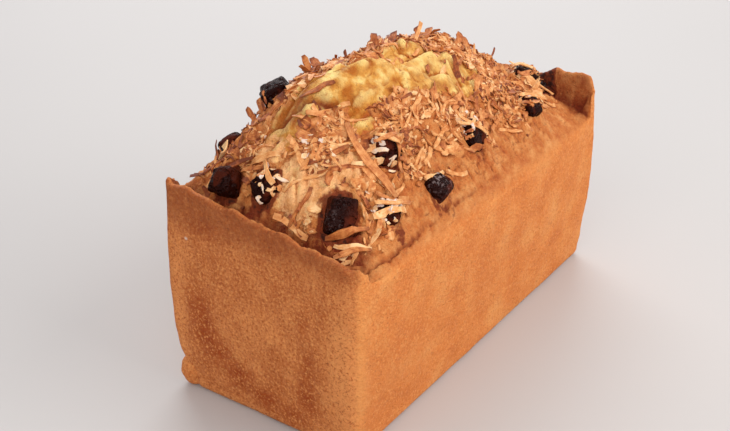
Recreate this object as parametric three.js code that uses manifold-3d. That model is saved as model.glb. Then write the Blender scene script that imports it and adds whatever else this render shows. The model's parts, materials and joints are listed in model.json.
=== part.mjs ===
// A coconut and chocolate loaf cake, whole and uncut, as it comes out of a tall loaf tin.
// Units are millimetres, +Z is up. X runs along the loaf, Y across it, and the origin is the middle of the flat
// underside. The loaf is one solid: straight, slightly flared walls, thin raised rims where the batter climbed
// the tin's ends, and a high burst crown. Long toasted coconut shreds are baked onto it. The chocolate chunks
// sit in pockets of their own.
import * as THREE from "three";
import { mergeVertices } from "three/addons/utils/BufferGeometryUtils.js";
import Module from "manifold-3d";

const wasm = await Module();
wasm.setup();

// ---- driving dimensions ----
const RIM_LENGTH = 195; // outside length at the rim
const RIM_WIDTH = 90; // outside width at the rim
const RIM_HEIGHT = 88; // the height at which the two above are measured
const WALL_FLARE = 1.4; // how much further out each wall stands at the rim than at the base
const WALL_BULGE = 2.4; // the long walls swell by this much at mid-length
const BARREL = 1.8; // all four walls stand out by this much at half height
const CORNER_RADIUS = 3; // upright corners
const NEAR_CORNER_RADIUS = 6.5; // the softer upright corner at -X, -Y
const FOOT_RADIUS = 3; // edge round the underside
const CORNER_TUCK = 6; // how far the -X +Y corner is drawn in at its foot
const TUCK_HEIGHT = 22; // where that ends
const LOBE_PLACE = [-94, 40, 7]; // of the leaked lobe at that corner
const LOBE_RADII = [4.3, 5.6, 7];

const EDGE_HEIGHT = 80.5; // height of the crust at the long edges, averaged over the two
const CROSS_TILT = 0.14; // the crust rises by this much for each mm towards +Y
const CROWN_HEIGHT = 47; // how far the crown stands above that
const CREST_X = -27; // the highest point of the crown
const CREST_Y = 6;
const CROWN_REACH_NEAR = 72; // from the highest point to where the crown runs out, towards -X
const CROWN_REACH_FAR = 128; // and towards +X
const SHOULDER_DROP = 3.2; // how much lower the crown's +Y shoulder is over the -X half
const CREST_DROP = 2.2; // and how much more beside the highest point
const FAR_LIFT = 2.5; // how much fuller the crown is on its way down to the +X end

const RIM_THICKNESS = 3; // of the raised rim
const RIM_SLOPE = 4; // the width over which its inner side drops
const TROUGH_DEPTH = 5; // of the groove behind the rim at the -X end
const CORNER_POCKET_DEPTH = 0.5; // hollow inside each corner

const SHRED_COUNT = 116;
const SHRED_SPACING = 5.4; // least distance between the middles of two shreds
const SHRED_LENGTH = [12, 23];
const SHRED_WIDTH = [1.7, 2.5];
const SHRED_THICKNESS = 1.0;
const FIT_GAP = 0.3; // left between a chunk and its pocket
const LOAF_GRID = [36, 20, 5]; // divisions of the loaf's surface along, across and up

const HALF_LENGTH = RIM_LENGTH / 2;
const HALF_WIDTH = RIM_WIDTH / 2;

// Each chunk: where it sits on the crown, its edge lengths, its heading and tip in degrees, and the share of its
// height that is sunk.
const CHUNKS = [
  { at: [-43, 30], size: [12.5, 12, 11], heading: 35, tip: 20, sunk: 0.35 },
  { at: [-84, 23], size: [11, 10.5, 10], heading: 12, tip: -8, sunk: 0.2 },
  { at: [-83, 6], size: [11, 10.5, 9.5], heading: 50, tip: 8, sunk: 0.5 },
  { at: [-67, 35], size: [10, 9.5, 9], heading: 70, tip: 12, sunk: 0.55 },
  { at: [-78, -24], size: [15.5, 11.5, 10], heading: 33, tip: 6, sunk: 0.56 },
  { at: [-61, -34], size: [10, 10.5, 8.5], heading: 20, tip: -12, sunk: 0.6 },
  { at: [-46, -23], size: [11.5, 11, 9.5], heading: 62, tip: 10, sunk: 0.6 },
  { at: [-32, -37], size: [11, 10.5, 10], heading: 15, tip: -10, sunk: 0.5 },
  { at: [3, -32], size: [12, 11.5, 9.5], heading: 40, tip: 12, sunk: 0.5 },
  { at: [56, -30], size: [11.5, 11, 10], heading: 65, tip: 5, sunk: 0.5 },
  { at: [75, -17], size: [13, 12, 12], heading: 25, tip: -8, sunk: 0.3 },
  { at: [-8, 40], size: [11, 11, 9], heading: 48, tip: 10, sunk: 0.55 },
  { at: [27, 39], size: [11.5, 11, 9], heading: 8, tip: -9, sunk: 0.55 },
  { at: [52, 39], size: [10.5, 10.5, 9], heading: 55, tip: 12, sunk: 0.55 },
  { at: [89, -20], size: [15, 6, 6], heading: 92, tip: 4, sunk: 0.3 },
];

// ---- small helpers ----
const clamp01 = (v) => Math.min(1, Math.max(0, v));
function smooth(from, to, v) {
  const t = clamp01((v - from) / (to - from));
  return t * t * (3 - 2 * t);
}
const mix = (a, b, t) => a + (b - a) * t;
const radians = (degrees) => (degrees * Math.PI) / 180;

// A seeded random number from 0 to 1 (mulberry32).
function seededRandom(seed) {
  let state = seed;
  return () => {
    state = (state + 0x6d2b79f5) | 0;
    let t = Math.imul(state ^ (state >>> 15), 1 | state);
    t = (t + Math.imul(t ^ (t >>> 7), 61 | t)) ^ t;
    return ((t ^ (t >>> 14)) >>> 0) / 4294967296;
  };
}

// ---- the form of the top ----
// Height of the crown over the loaf's length, 0 to 1.
function crownAlong(x) {
  const reach = x < CREST_X ? CROWN_REACH_NEAR : CROWN_REACH_FAR;
  return 1 - clamp01(Math.abs(x - CREST_X) / reach) ** 1.9;
}

// Height of the crown over the loaf's width, 0 to 1: a long slope towards -Y, a fuller one towards +Y.
function crownAcross(y) {
  if (y < CREST_Y) {
    const out = clamp01((CREST_Y - y) / (HALF_WIDTH + CREST_Y + 1));
    return (1 - out ** 1.9) ** 1.1;
  }
  const out = clamp01((y - CREST_Y) / (HALF_WIDTH - CREST_Y + 1));
  return (1 - out ** 2.3) ** 0.85;
}

// How far a place lies in the burst along the crest, where the pale crumb shows, 0 to 1.
function burst(x, y) {
  const middle = 3 - 0.21 * (x + 45) + 3 * Math.sin(x / 14);
  const half = 11 + 2.5 * Math.sin(x / 7 + 1);
  return smooth(1.15, 0.75, Math.abs(y - middle) / half) * smooth(-72, -58, x) * smooth(42, 26, x);
}

// Lumps of the crust, about 10 to 20 mm across.
function lumps(x, y) {
  const broad = Math.sin(x / 8.5 + 1.3 + 0.6 * Math.sin(y / 10)) * Math.sin(y / 7.5 + 0.4);
  const fine = Math.sin(x / 4.3 + y / 6.1 + 2.1) * Math.sin(y / 4.9 - x / 9.7);
  return 1.1 * broad + 0.7 * fine;
}

// Torn ridges of the burst, which run along the loaf.
function ridges(x, y) {
  const wander = y + 2.2 * Math.sin(x / 9) + 1.1 * Math.sin(x / 3.7 + 1);
  return 1.6 * Math.abs(Math.sin(wander / 4.6)) + 0.8 * Math.sin(x / 5.2 + y / 3.1) - 0.6;
}

function baseHeight(y) {
  return EDGE_HEIGHT + CROSS_TILT * y;
}

// How the crown departs from an even one: a lower +Y shoulder over the -X half, and a fuller +X half.
function unevenness(x, y, rise) {
  const drop = SHOULDER_DROP + CREST_DROP * Math.exp(-(((x + 8) / 24) ** 2));
  const shoulder = smooth(6, 20, y) * smooth(34, 10, x) * smooth(0.05, 0.35, rise);
  const lift = FAR_LIFT * Math.exp(-(((x - 48) / 28) ** 2) - ((y - 8) / 16) ** 2);
  return lift - drop * shoulder;
}

// The crust inside the rims.
function crustHeight(x, y) {
  const fromNearEnd = HALF_LENGTH + x;
  const trough = TROUGH_DEPTH * Math.exp(-(((fromNearEnd - 7) / 6) ** 2));
  const rise = crownAlong(x) * crownAcross(y);
  const torn = burst(x, y);
  const relief = smooth(0.05, 0.3, rise) * (lumps(x, y) * (1 - torn) + ridges(x, y) * torn);
  return baseHeight(y) + CROWN_HEIGHT * rise + unevenness(x, y, rise) - trough + relief;
}

// The top of the walls, followed inwards: the ends stand high, and the long edges dip between the corners.
function rimHeight(x, y) {
  const base = baseHeight(y);
  const nearEnd = 89 + 0.13 * y - base;
  const ear = 4.5 * smooth(-16, -25, y) - 5 * smooth(-41, -45, y);
  const farEnd = 88.5 + ear + 3 * smooth(20, 40, y) - base;
  const chips = 0.5 * Math.sin(y / 3.3 + x / 7) + 0.35 * Math.sin(y / 1.9 + 2);
  const nearShare = Math.exp(-(HALF_LENGTH + x) / 16);
  const farShare = Math.exp(-(HALF_LENGTH - x) / 5);
  return base + nearEnd * nearShare + farEnd * farShare + chips * (nearShare + farShare);
}

// The height of the whole top surface above the underside.
function topHeight(x, y) {
  const fromEnd = HALF_LENGTH - Math.abs(x);
  const fromSide = HALF_WIDTH - Math.abs(y);
  const nearCorner = Math.exp(-(HALF_LENGTH + x) / 14);
  const farCorner = Math.exp(-(HALF_LENGTH - x) / 6);
  const endRim = smooth(RIM_THICKNESS + RIM_SLOPE, RIM_THICKNESS - 1, fromEnd);
  const sideRim = smooth(RIM_THICKNESS + 2.5, RIM_THICKNESS - 1.5, fromSide);
  const rimShare = Math.max(endRim, sideRim * clamp01(1.3 * Math.max(nearCorner, farCorner)));
  const share = Math.max(rimShare, smooth(1.5, 0, fromSide));
  const pocket = Math.exp(-(((fromEnd - 7) / 5) ** 2) - ((fromSide - 6) / 5) ** 2);
  const inside = crustHeight(x, y) - CORNER_POCKET_DEPTH * pocket;
  const alongRim = fromEnd < RIM_THICKNESS + RIM_SLOPE ? Math.sign(x) * HALF_LENGTH : x;
  return mix(inside, rimHeight(alongRim, y), share);
}

// The outward direction of the top surface.
function topNormal(x, y) {
  const step = 2;
  const slopeX = (topHeight(x + step, y) - topHeight(x - step, y)) / (2 * step);
  const slopeY = (topHeight(x, y + step) - topHeight(x, y - step)) / (2 * step);
  return new THREE.Vector3(-slopeX, -slopeY, 1).normalize();
}

// ---- solids ----
function toSolid(geometry) {
  const bare = geometry.clone();
  bare.deleteAttribute("normal");
  bare.deleteAttribute("uv");
  const merged = mergeVertices(bare, 1e-4);
  return new wasm.Manifold(
    new wasm.Mesh({
      numProp: 3,
      vertProperties: new Float32Array(merged.attributes.position.array),
      triVerts: new Uint32Array(merged.index.array),
    }),
  );
}

function toGeometry(solid) {
  const mesh = solid.getMesh();
  const positions = new Float32Array(mesh.numVert * 3);
  for (let i = 0; i < mesh.numVert; i++) {
    positions.set(mesh.vertProperties.subarray(i * mesh.numProp, i * mesh.numProp + 3), i * 3);
  }
  const geometry = new THREE.BufferGeometry();
  geometry.setAttribute("position", new THREE.BufferAttribute(positions, 3));
  geometry.setIndex(new THREE.BufferAttribute(mesh.triVerts, 1));
  geometry.computeVertexNormals();
  return geometry;
}

// Moves every vertex of a geometry.
function reshape(geometry, move) {
  const position = geometry.attributes.position;
  const point = new THREE.Vector3();
  for (let i = 0; i < position.count; i++) {
    point.fromBufferAttribute(position, i);
    move(point);
    position.setXYZ(i, point.x, point.y, point.z);
  }
  return geometry;
}

// Draws the grid lines closer together towards the edges, where the rims are.
const crowd = (t) => t * (1.3 - 0.3 * t * t);

// The height of each row of wall vertices: three rows round the foot, two up the wall and one at the top.
function wallRow(level, top) {
  const rows = [0, 0.25 * FOOT_RADIUS, FOOT_RADIUS, 0.9 * TUCK_HEIGHT, 0.6 * top, top];
  return rows[Math.round(level * (rows.length - 1))];
}

// How far the walls are drawn in towards Y = 0 by the fold at the foot of the -X +Y corner.
function cornerTuck(x, y, z) {
  if (y < 0) return 0;
  return CORNER_TUCK * smooth(TUCK_HEIGHT, 0, z) * Math.exp(-(HALF_LENGTH + x) / 18);
}

// Rounds the upright corners and the foot of a box: what stands beyond the inner box is drawn onto a round.
function roundEdges(point, halfX, halfY) {
  const radius = point.x < 0 && point.y < 0 ? NEAR_CORNER_RADIUS : CORNER_RADIUS;
  const beyondX = Math.max(0, Math.abs(point.x) - (halfX - radius));
  const beyondY = Math.max(0, Math.abs(point.y) - (halfY - radius));
  const flat = Math.hypot(beyondX, beyondY);
  if (beyondX > 0 && beyondY > 0) {
    const pull = Math.max(beyondX, beyondY) / flat;
    point.x -= Math.sign(point.x) * beyondX * (1 - pull);
    point.y -= Math.sign(point.y) * beyondY * (1 - pull);
  }
  const up = FOOT_RADIUS - point.z;
  if (up > 0) {
    const tuck = FOOT_RADIUS - Math.sqrt(Math.max(0, FOOT_RADIUS ** 2 - up ** 2));
    point.x *= 1 - tuck / halfX;
    point.y *= 1 - tuck / halfY;
  }
}

// Swaps the finely divided underside of a box for a fan of triangles round its middle.
function plainUnderside(box) {
  const under = box.groups[5];
  const index = Array.from(box.index.array);
  const faces = index.splice(under.start, under.count);
  const used = new Map();
  const edgeKey = (a, b) => a + "_" + b;
  for (let i = 0; i < faces.length; i += 3) {
    for (let k = 0; k < 3; k++) {
      const from = faces[i + k];
      const to = faces[i + ((k + 1) % 3)];
      if (!used.delete(edgeKey(to, from))) used.set(edgeKey(from, to), [from, to]);
    }
  }
  const middle = box.attributes.position.count;
  const positions = [...box.attributes.position.array, 0, 0, -1];
  for (const [from, to] of used.values()) index.push(from, to, middle);
  const geometry = new THREE.BufferGeometry();
  geometry.setAttribute("position", new THREE.Float32BufferAttribute(positions, 3));
  geometry.setIndex(index);
  return geometry;
}

// The bare loaf: a finely divided box, drawn to the walls, the rims and the crown.
function loafSolid() {
  const box = plainUnderside(new THREE.BoxGeometry(2, 2, 2, ...LOAF_GRID));
  reshape(box, (point) => {
    const x = HALF_LENGTH * crowd(point.x);
    const y = HALF_WIDTH * crowd(point.y);
    const z = wallRow((point.z + 1) / 2, topHeight(x, y));
    const barrel = BARREL * Math.sin(Math.PI * clamp01(z / RIM_HEIGHT));
    const inset = (WALL_FLARE * (RIM_HEIGHT - z)) / RIM_HEIGHT - barrel;
    const swell = WALL_BULGE * Math.cos((Math.PI * x) / RIM_LENGTH) * smooth(20, 75, z);
    const outward = Math.abs(y / HALF_WIDTH) ** 6;
    const halfWidth = HALF_WIDTH - inset - cornerTuck(x, y, z);
    point.set(x * (1 - inset / HALF_LENGTH), (y * halfWidth) / HALF_WIDTH + Math.sign(y) * swell * outward, z);
    roundEdges(point, HALF_LENGTH - inset, halfWidth + swell * outward);
  });
  return toSolid(box);
}

// The small lobe of batter that leaked past the fold at the foot of that corner.
function leakSolid() {
  const lobe = new THREE.SphereGeometry(1, 12, 8);
  lobe.scale(...LOBE_RADII);
  lobe.translate(...LOBE_PLACE);
  return toSolid(lobe);
}

// One long shred of coconut: a flat strip, thinner towards its ends and bent along its length.
function shredGeometry(length, width, bend) {
  const strip = new THREE.BoxGeometry(length, width, SHRED_THICKNESS, 2, 1, 1);
  return reshape(strip, (point) => {
    const s = point.x / (length / 2);
    point.y *= 1 - 0.4 * s * s;
    point.z += bend * s * s;
  });
}

// The share of the crust that shreds cover at a place: most of the crown, little in the burst and low at -Y.
function coverage(x, y) {
  const fromEnd = HALF_LENGTH - Math.abs(x);
  const fromSide = HALF_WIDTH - Math.abs(y);
  if (fromEnd < 9 || fromSide < 5) return 0;
  const onCrown = smooth(0.1, 0.32, crownAlong(x) * crownAcross(y));
  return onCrown * (1 - 0.85 * burst(x, y));
}

// How far a point lies from a straight strip round the origin, which reaches that far each way.
function distanceToStrip(x, y, reachX, reachY) {
  const share = (x * reachX + y * reachY) / (reachX ** 2 + reachY ** 2);
  const held = Math.min(1, Math.max(-1, share));
  return Math.hypot(x - held * reachX, y - held * reachY);
}

// Every shred as a solid in its place, drawn by a seeded rule that keeps them apart and clear of the chunks.
function shredSolids() {
  const random = seededRandom(20260);
  const between = (range) => mix(range[0], range[1], random());
  const placed = [];
  const solids = [];
  for (let tries = 0; tries < 9000 && solids.length < SHRED_COUNT; tries++) {
    const x = mix(-HALF_LENGTH, HALF_LENGTH, random());
    const y = mix(-HALF_WIDTH, HALF_WIDTH, random());
    const chance = random();
    const length = between(SHRED_LENGTH);
    const width = between(SHRED_WIDTH);
    const heading = Math.PI * random();
    const tilt = radians(mix(-16, 16, random()));
    const bend = mix(0.3, 2.2, random());
    if (chance > coverage(x, y)) continue;
    if (placed.some((p) => Math.hypot(p.x - x, p.y - y) < SHRED_SPACING)) continue;
    const reachX = (Math.cos(heading) * length) / 2;
    const reachY = (Math.sin(heading) * length) / 2;
    if (Math.abs(x) + Math.abs(reachX) > HALF_LENGTH - 4) continue;
    if (Math.abs(y) + Math.abs(reachY) > HALF_WIDTH - 3) continue;
    const hits = (c) => distanceToStrip(c.at[0] - x, c.at[1] - y, reachX, reachY) < 0.8 * c.size[0] + width / 2;
    if (CHUNKS.some(hits)) continue;
    placed.push({ x, y });
    const normal = topNormal(x, y);
    const along = new THREE.Vector3(Math.cos(heading), Math.sin(heading), 0);
    along.addScaledVector(normal, -along.dot(normal)).normalize();
    const across = new THREE.Vector3().crossVectors(normal, along);
    const place = new THREE.Matrix4().makeBasis(along, across, normal);
    place.setPosition(x, y, topHeight(x, y) + 0.1);
    const strip = shredGeometry(length, width, bend);
    strip.rotateY(tilt);
    strip.applyMatrix4(place);
    solids.push(toSolid(strip));
  }
  return solids;
}

// A rough block of chocolate with softened edges, grown by a margin.
function chunkGeometry(chunk, index, margin) {
  const block = new THREE.BoxGeometry(1, 1, 1, 2, 2, 2);
  return reshape(block, (point) => {
    const round = point.clone().normalize().multiplyScalar(0.58);
    point.lerp(round, 0.25);
    const skew = 0.96 + 0.06 * Math.sin(9 * point.x + 5 * point.y * (index + 1) + 3 * point.z);
    point.set(
      point.x * (chunk.size[0] * skew + 2 * margin),
      point.y * (chunk.size[1] * skew + 2 * margin),
      point.z * (chunk.size[2] * skew + 2 * margin),
    );
  });
}

// The place of a chunk: on the crust, leaning with it, part of its height sunk.
function chunkPlace(chunk) {
  const [x, y] = chunk.at;
  const normal = topNormal(x, y);
  const lift = (0.5 - chunk.sunk) * chunk.size[2];
  const lean = new THREE.Quaternion().setFromUnitVectors(new THREE.Vector3(0, 0, 1), normal);
  const turn = new THREE.Quaternion().setFromEuler(new THREE.Euler(radians(chunk.tip), 0, radians(chunk.heading)));
  const position = new THREE.Vector3(x, y, topHeight(x, y)).addScaledVector(normal, lift);
  return new THREE.Matrix4().compose(position, lean.multiply(turn), new THREE.Vector3(1, 1, 1));
}

// ---- the cake ----
const cakeCrust = new THREE.MeshStandardMaterial({ color: 0xc98a4b, roughness: 0.85, metalness: 0 });
const darkChocolate = new THREE.MeshStandardMaterial({ color: 0x2c1512, roughness: 0.4, metalness: 0 });

const cake = new THREE.Group();

const pockets = CHUNKS.map((chunk, index) => {
  const grown = chunkGeometry(chunk, index, FIT_GAP);
  grown.applyMatrix4(chunkPlace(chunk));
  return toSolid(grown);
});
const baked = wasm.Manifold.union([loafSolid(), leakSolid(), ...shredSolids()]);
const withPockets = baked.subtract(wasm.Manifold.union(pockets));
const loafBody = withPockets.decompose().reduce((a, b) => (b.volume() > a.volume() ? b : a));

const loaf = new THREE.Mesh(toGeometry(loafBody), cakeCrust);
loaf.name = "loaf";
cake.add(loaf);

CHUNKS.forEach((chunk, index) => {
  const mesh = new THREE.Mesh(chunkGeometry(chunk, index, 0), darkChocolate);
  mesh.applyMatrix4(chunkPlace(chunk));
  mesh.name = "chocolate_chunk_" + String(index + 1).padStart(2, "0");
  cake.add(mesh);
});

export default cake;
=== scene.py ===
"""Looks of a coconut and chocolate loaf cake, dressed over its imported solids.

The loaf's solid is replaced by a finely divided one of the same form, with its crust, burst crumb, cracks
and browning. The chocolate is replaced by rough melted blocks, and toasted coconut is laid over the crown.
"""

import json
import math

import bpy
import numpy as np
from mathutils import Matrix, Vector
from mathutils.bvhtree import BVHTree

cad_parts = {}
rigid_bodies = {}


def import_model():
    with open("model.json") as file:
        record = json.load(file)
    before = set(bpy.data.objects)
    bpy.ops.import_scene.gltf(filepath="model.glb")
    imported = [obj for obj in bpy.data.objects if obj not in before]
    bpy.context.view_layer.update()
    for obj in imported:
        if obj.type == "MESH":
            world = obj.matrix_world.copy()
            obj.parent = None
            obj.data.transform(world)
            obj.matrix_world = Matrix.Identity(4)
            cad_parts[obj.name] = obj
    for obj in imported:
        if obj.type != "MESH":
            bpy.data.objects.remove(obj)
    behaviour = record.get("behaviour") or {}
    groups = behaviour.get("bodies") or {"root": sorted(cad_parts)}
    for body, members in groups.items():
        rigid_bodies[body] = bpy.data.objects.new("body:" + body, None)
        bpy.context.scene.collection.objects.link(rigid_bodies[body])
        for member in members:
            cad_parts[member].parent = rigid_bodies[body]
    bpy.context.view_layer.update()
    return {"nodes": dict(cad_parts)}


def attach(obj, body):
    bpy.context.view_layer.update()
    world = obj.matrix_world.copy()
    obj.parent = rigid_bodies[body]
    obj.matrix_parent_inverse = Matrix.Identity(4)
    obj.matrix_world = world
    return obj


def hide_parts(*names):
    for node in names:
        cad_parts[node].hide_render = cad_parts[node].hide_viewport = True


bl_info = {
    "name": "Coconut Loaf Cake",
    "version": (1, 0, 0),
    "blender": (4, 5, 0),
    "location": "3D Viewport > Sidebar > Cake",
    "description": "Models and dresses a loaf cake with toasted coconut and dark chocolate",
    "category": "Add Mesh",
}

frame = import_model()

MM = 0.001

# ---- driving sizes of the cake, in millimetres, as its solid has them ----
RIM_LENGTH = 195.0
RIM_WIDTH = 90.0
RIM_HEIGHT = 88.0
WALL_FLARE = 1.4
WALL_BULGE = 2.4
BARREL = 1.8
CORNER_RADIUS = 3.0
NEAR_CORNER_RADIUS = 6.5
FOOT_RADIUS = 3.0
CORNER_TUCK = 6.0
TUCK_HEIGHT = 22.0

EDGE_HEIGHT = 80.5
CROSS_TILT = 0.14
CROWN_HEIGHT = 47.0
CREST_X = -27.0
CREST_Y = 6.0
CROWN_REACH_NEAR = 72.0
CROWN_REACH_FAR = 128.0
SHOULDER_DROP = 3.2
CREST_DROP = 2.2
FAR_LIFT = 2.5

RIM_THICKNESS = 3.0
RIM_SLOPE = 4.0
TROUGH_DEPTH = 5.0
CORNER_POCKET_DEPTH = 0.5
NEAR_RIM_HEIGHT = 89.0
NEAR_RIM_TILT = 0.13
FAR_RIM_HEIGHT = 88.5
FAR_CORNER_LIFT = 3.0
EAR_HEIGHT = 4.5
EAR_NOTCH = 5.0

HALF_LENGTH = RIM_LENGTH / 2
HALF_WIDTH = RIM_WIDTH / 2

# The leaked lobe at the foot of one corner.
LOBE_PLACE = (-94.0, 40.0, 7.0)
LOBE_RADII = (4.3, 5.6, 7.0)

# How far the dressed loaf's upper edges are rounded: the long edges, and the thin rims at the ends.
SHOULDER_RADIUS = 3.6
RIM_EDGE_RADIUS = 1.1

# Finer forms of the dressed loaf: the torn line along the near edge, the crevice, the crust pushed up
# round each chunk, and the filling of the corner pockets.
CRACK_LINE = -41.8
CRACK_DEPTH = 1.3
LIP_HEIGHT = 0.7
CREVICE_DEPTH = 2.4
COLLAR_HEIGHT = 1.3
POCKET_FILL = 1.5

# The soft pale fold on the near slope: the ovals that make it up, each with its place, radii and weight.
CHEEK_SPOTS = [
    ((-77, -8), (13, 12), 1.0),
    ((-66, -17), (9, 7), 1.0),
    ((-74, 10), (6, 7), 0.8),
]

# The large shreds that are part of the loaf's solid.
SHRED_SEED = 20260
SHRED_COUNT = 116
SHRED_TRIES = 9000
SHRED_SPACING = 5.4
SHRED_LENGTH = (12.0, 23.0)
SHRED_WIDTH = (1.7, 2.5)
SHRED_TILT = (-16, 16)
SHRED_BEND = (0.3, 2.2)
SHRED_END_MARGIN = 9.0
SHRED_SIDE_MARGIN = 5.0
SHRED_TIP_END_MARGIN = 4.0
SHRED_TIP_SIDE_MARGIN = 3.0
SHRED_CHUNK_CLEARANCE = 0.8

# The chocolate: chunks with an edge over a size are less worn, faces that meet at less than the flat angle
# are joined, and edges over the edge angle are rounded. Then each chunk's place and its longer edge.
LARGE_CHUNK = 12
FLAT_ANGLE = math.radians(40)
EDGE_ANGLE = math.radians(35)
CHUNK_PLACES = [
    (-43, 30, 12.5),
    (-84, 23, 11),
    (-83, 6, 11),
    (-67, 35, 10),
    (-78, -24, 15.5),
    (-61, -34, 10),
    (-46, -23, 11.5),
    (-32, -37, 11),
    (3, -32, 12),
    (56, -30, 11.5),
    (75, -17, 13),
    (-8, 40, 11),
    (27, 39, 11.5),
    (52, 39, 10.5),
    (89, -20, 15),
]

# The divisions of the loaf's surface along X, Y and Z: each edge is divided by these factors in turn. They
# lie closer together towards the edges of the top, and towards the top and bottom of the walls.
LOAF_DIVISIONS = ((10, 32), (10, 15), (8, 5))
EDGE_CROWDING = 0.15
ROW_CROWDING = 0.06

# The levels that a vertex group's weights are rounded to, and the smoothing rounds that find the hollows.
GROUP_LEVELS = 20
HOLLOW_ROUNDS = 16

# Where melted chocolate ran down the crust: the place on the top, the radii and the strength.
MELT_TAILS = [
    ((-88, -20), (3.5, 6), 0.7),
    ((-38, -40), (1.5, 3), 0.7),
    ((-90, 10), (3, 8), 0.7),
    ((-63, -40), (3, 2), 0.7),
]

# The grid of heights that the coconut lies on: its spacing in millimetres, and its rays' start in metres.
GRID_STEP = 0.75
RAY_HEIGHT = 0.3

# The small coconut: the seed of its random numbers, how many places one draw tries, how far it keeps
# inside the long edges, how much browner it is where it toasts and in painted shade, and how far it bends
# to lie on the crust.
COCONUT_SEED = 417
TRIES_AT_ONCE = 4000
SMALL_SIDE_MARGIN = 3.0
TOASTING_SHARE = 0.3
DRAPE_LIMITS = (-3.0, 2.5)

# The steps from a shred's middle to its end, the angle up to which its faces are shaded as one, and how
# far its fibres are drawn out along it and across it.
SPINE_STEPS = 20
SMOOTH_ANGLE = math.radians(50)
FIBRE_LENGTHWISE = 0.25
FIBRE_CROSSWISE = 3.0

# ---- the camera, fitted to the photograph's straight edges ----
CAMERA_PLACE = Vector((-0.3955, -0.2540, 0.3018))
CAMERA_BACK = Vector((-0.7258, -0.5000, 0.4724))
CAMERA_LENS = 60.0
CAMERA_SENSOR = 36.0

# ---- the light and the floor: a pale room, and soft lamps that point at the middle of the cake ----
CAKE_MIDDLE = Vector((0, 0, 0.06))
ROOM_COLOUR = (0.93, 0.96, 1.0, 1.0)
ROOM_STRENGTH = 0.58
FLOOR_SIZE = 8
FLOOR_DIVISIONS = 24

# Each lamp's name, place, size, power and colour.
LAMPS = [
    ("window", (0.25, -0.95, 0.75), (0.9, 0.9), 9.5, (1.0, 0.98, 0.95)),
    ("room", (-1.0, -0.35, 0.8), (1.2, 1.0), 7.0, (1.0, 0.98, 0.96)),
    ("back_window", (0.95, 0.75, 0.9), (1.2, 0.9), 14.0, (0.97, 0.98, 1.0)),
]

# The cells along each side of a table of random numbers, after which it repeats.
ROUGH_CELLS = 64


# ---- small helpers ----
def clamp01(v):
    return np.clip(v, 0.0, 1.0)


def smooth(start, end, v):
    t = clamp01((v - start) / (end - start))
    return t * t * (3 - 2 * t)


def mix(a, b, t):
    return a + (b - a) * t


def hump(v, middle, width):
    """1 at a middle, falling away smoothly to both sides."""
    return np.exp(-(((v - middle) / width) ** 2))


def dome(x, y, at, widths):
    """1 at a place, falling away smoothly all round it."""
    return np.exp(-(((x - at[0]) / widths[0]) ** 2) - ((y - at[1]) / widths[1]) ** 2)


def most(first, *others):
    """The greatest of several values, place by place."""
    for other in others:
        first = np.maximum(first, other)
    return first


def srgb(red, green, blue):
    """A linear colour from the 0 to 255 values that a picture shows."""
    channels = [c / 255 for c in (red, green, blue)]
    return tuple(c / 12.92 if c <= 0.04045 else ((c + 0.055) / 1.055) ** 2.4 for c in channels)


def rough(x, y, size, seed):
    """Random unevenness over a plane from -1 to 1, with lumps of about a size."""
    table = np.random.default_rng(seed).uniform(-1, 1, (ROUGH_CELLS, ROUGH_CELLS))
    u, v = x / size + 0.37 * seed, y / size + 0.61 * seed
    i, j = np.floor(u).astype(int), np.floor(v).astype(int)
    u, v = smooth(0, 1, u - i), smooth(0, 1, v - j)
    i, j = i % ROUGH_CELLS, j % ROUGH_CELLS
    beyond_i, beyond_j = (i + 1) % ROUGH_CELLS, (j + 1) % ROUGH_CELLS
    low = mix(table[i, j], table[beyond_i, j], u)
    high = mix(table[i, beyond_j], table[beyond_i, beyond_j], u)
    return mix(low, high, v)


def seeded_random(seed):
    """The solid's own random numbers from 0 to 1, by which its large shreds are laid."""
    whole = 0xFFFFFFFF
    state = seed
    while True:
        state = (state + 0x6D2B79F5) & whole
        t = ((state ^ (state >> 15)) * (1 | state)) & whole
        t = ((t + ((t ^ (t >> 7)) * (61 | t) & whole)) ^ t) & whole
        yield ((t ^ (t >> 14)) & whole) / 4294967296


# ---- the form of the top, as in the solid ----
def crown_along(x):
    reach = np.where(x < CREST_X, CROWN_REACH_NEAR, CROWN_REACH_FAR)
    return 1 - clamp01(np.abs(x - CREST_X) / reach) ** 1.9


def crown_across(y):
    towards_near_side = clamp01((CREST_Y - y) / (HALF_WIDTH + CREST_Y + 1))
    towards_far_side = clamp01((y - CREST_Y) / (HALF_WIDTH - CREST_Y + 1))
    near_side = (1 - towards_near_side**1.9) ** 1.1
    far_side = (1 - towards_far_side**2.3) ** 0.85
    return np.where(y < CREST_Y, near_side, far_side)


def burst(x, y):
    middle = 3 - 0.21 * (x + 45) + 3 * np.sin(x / 14)
    half = 11 + 2.5 * np.sin(x / 7 + 1)
    return smooth(1.15, 0.75, np.abs(y - middle) / half) * smooth(-72, -58, x) * smooth(42, 26, x)


def lumps(x, y):
    broad = np.sin(x / 8.5 + 1.3 + 0.6 * np.sin(y / 10)) * np.sin(y / 7.5 + 0.4)
    fine = np.sin(x / 4.3 + y / 6.1 + 2.1) * np.sin(y / 4.9 - x / 9.7)
    return 1.1 * broad + 0.7 * fine


def ridges(x, y):
    wander = y + 2.2 * np.sin(x / 9) + 1.1 * np.sin(x / 3.7 + 1)
    return 1.6 * np.abs(np.sin(wander / 4.6)) + 0.8 * np.sin(x / 5.2 + y / 3.1) - 0.6


def base_height(y):
    return EDGE_HEIGHT + CROSS_TILT * y


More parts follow.
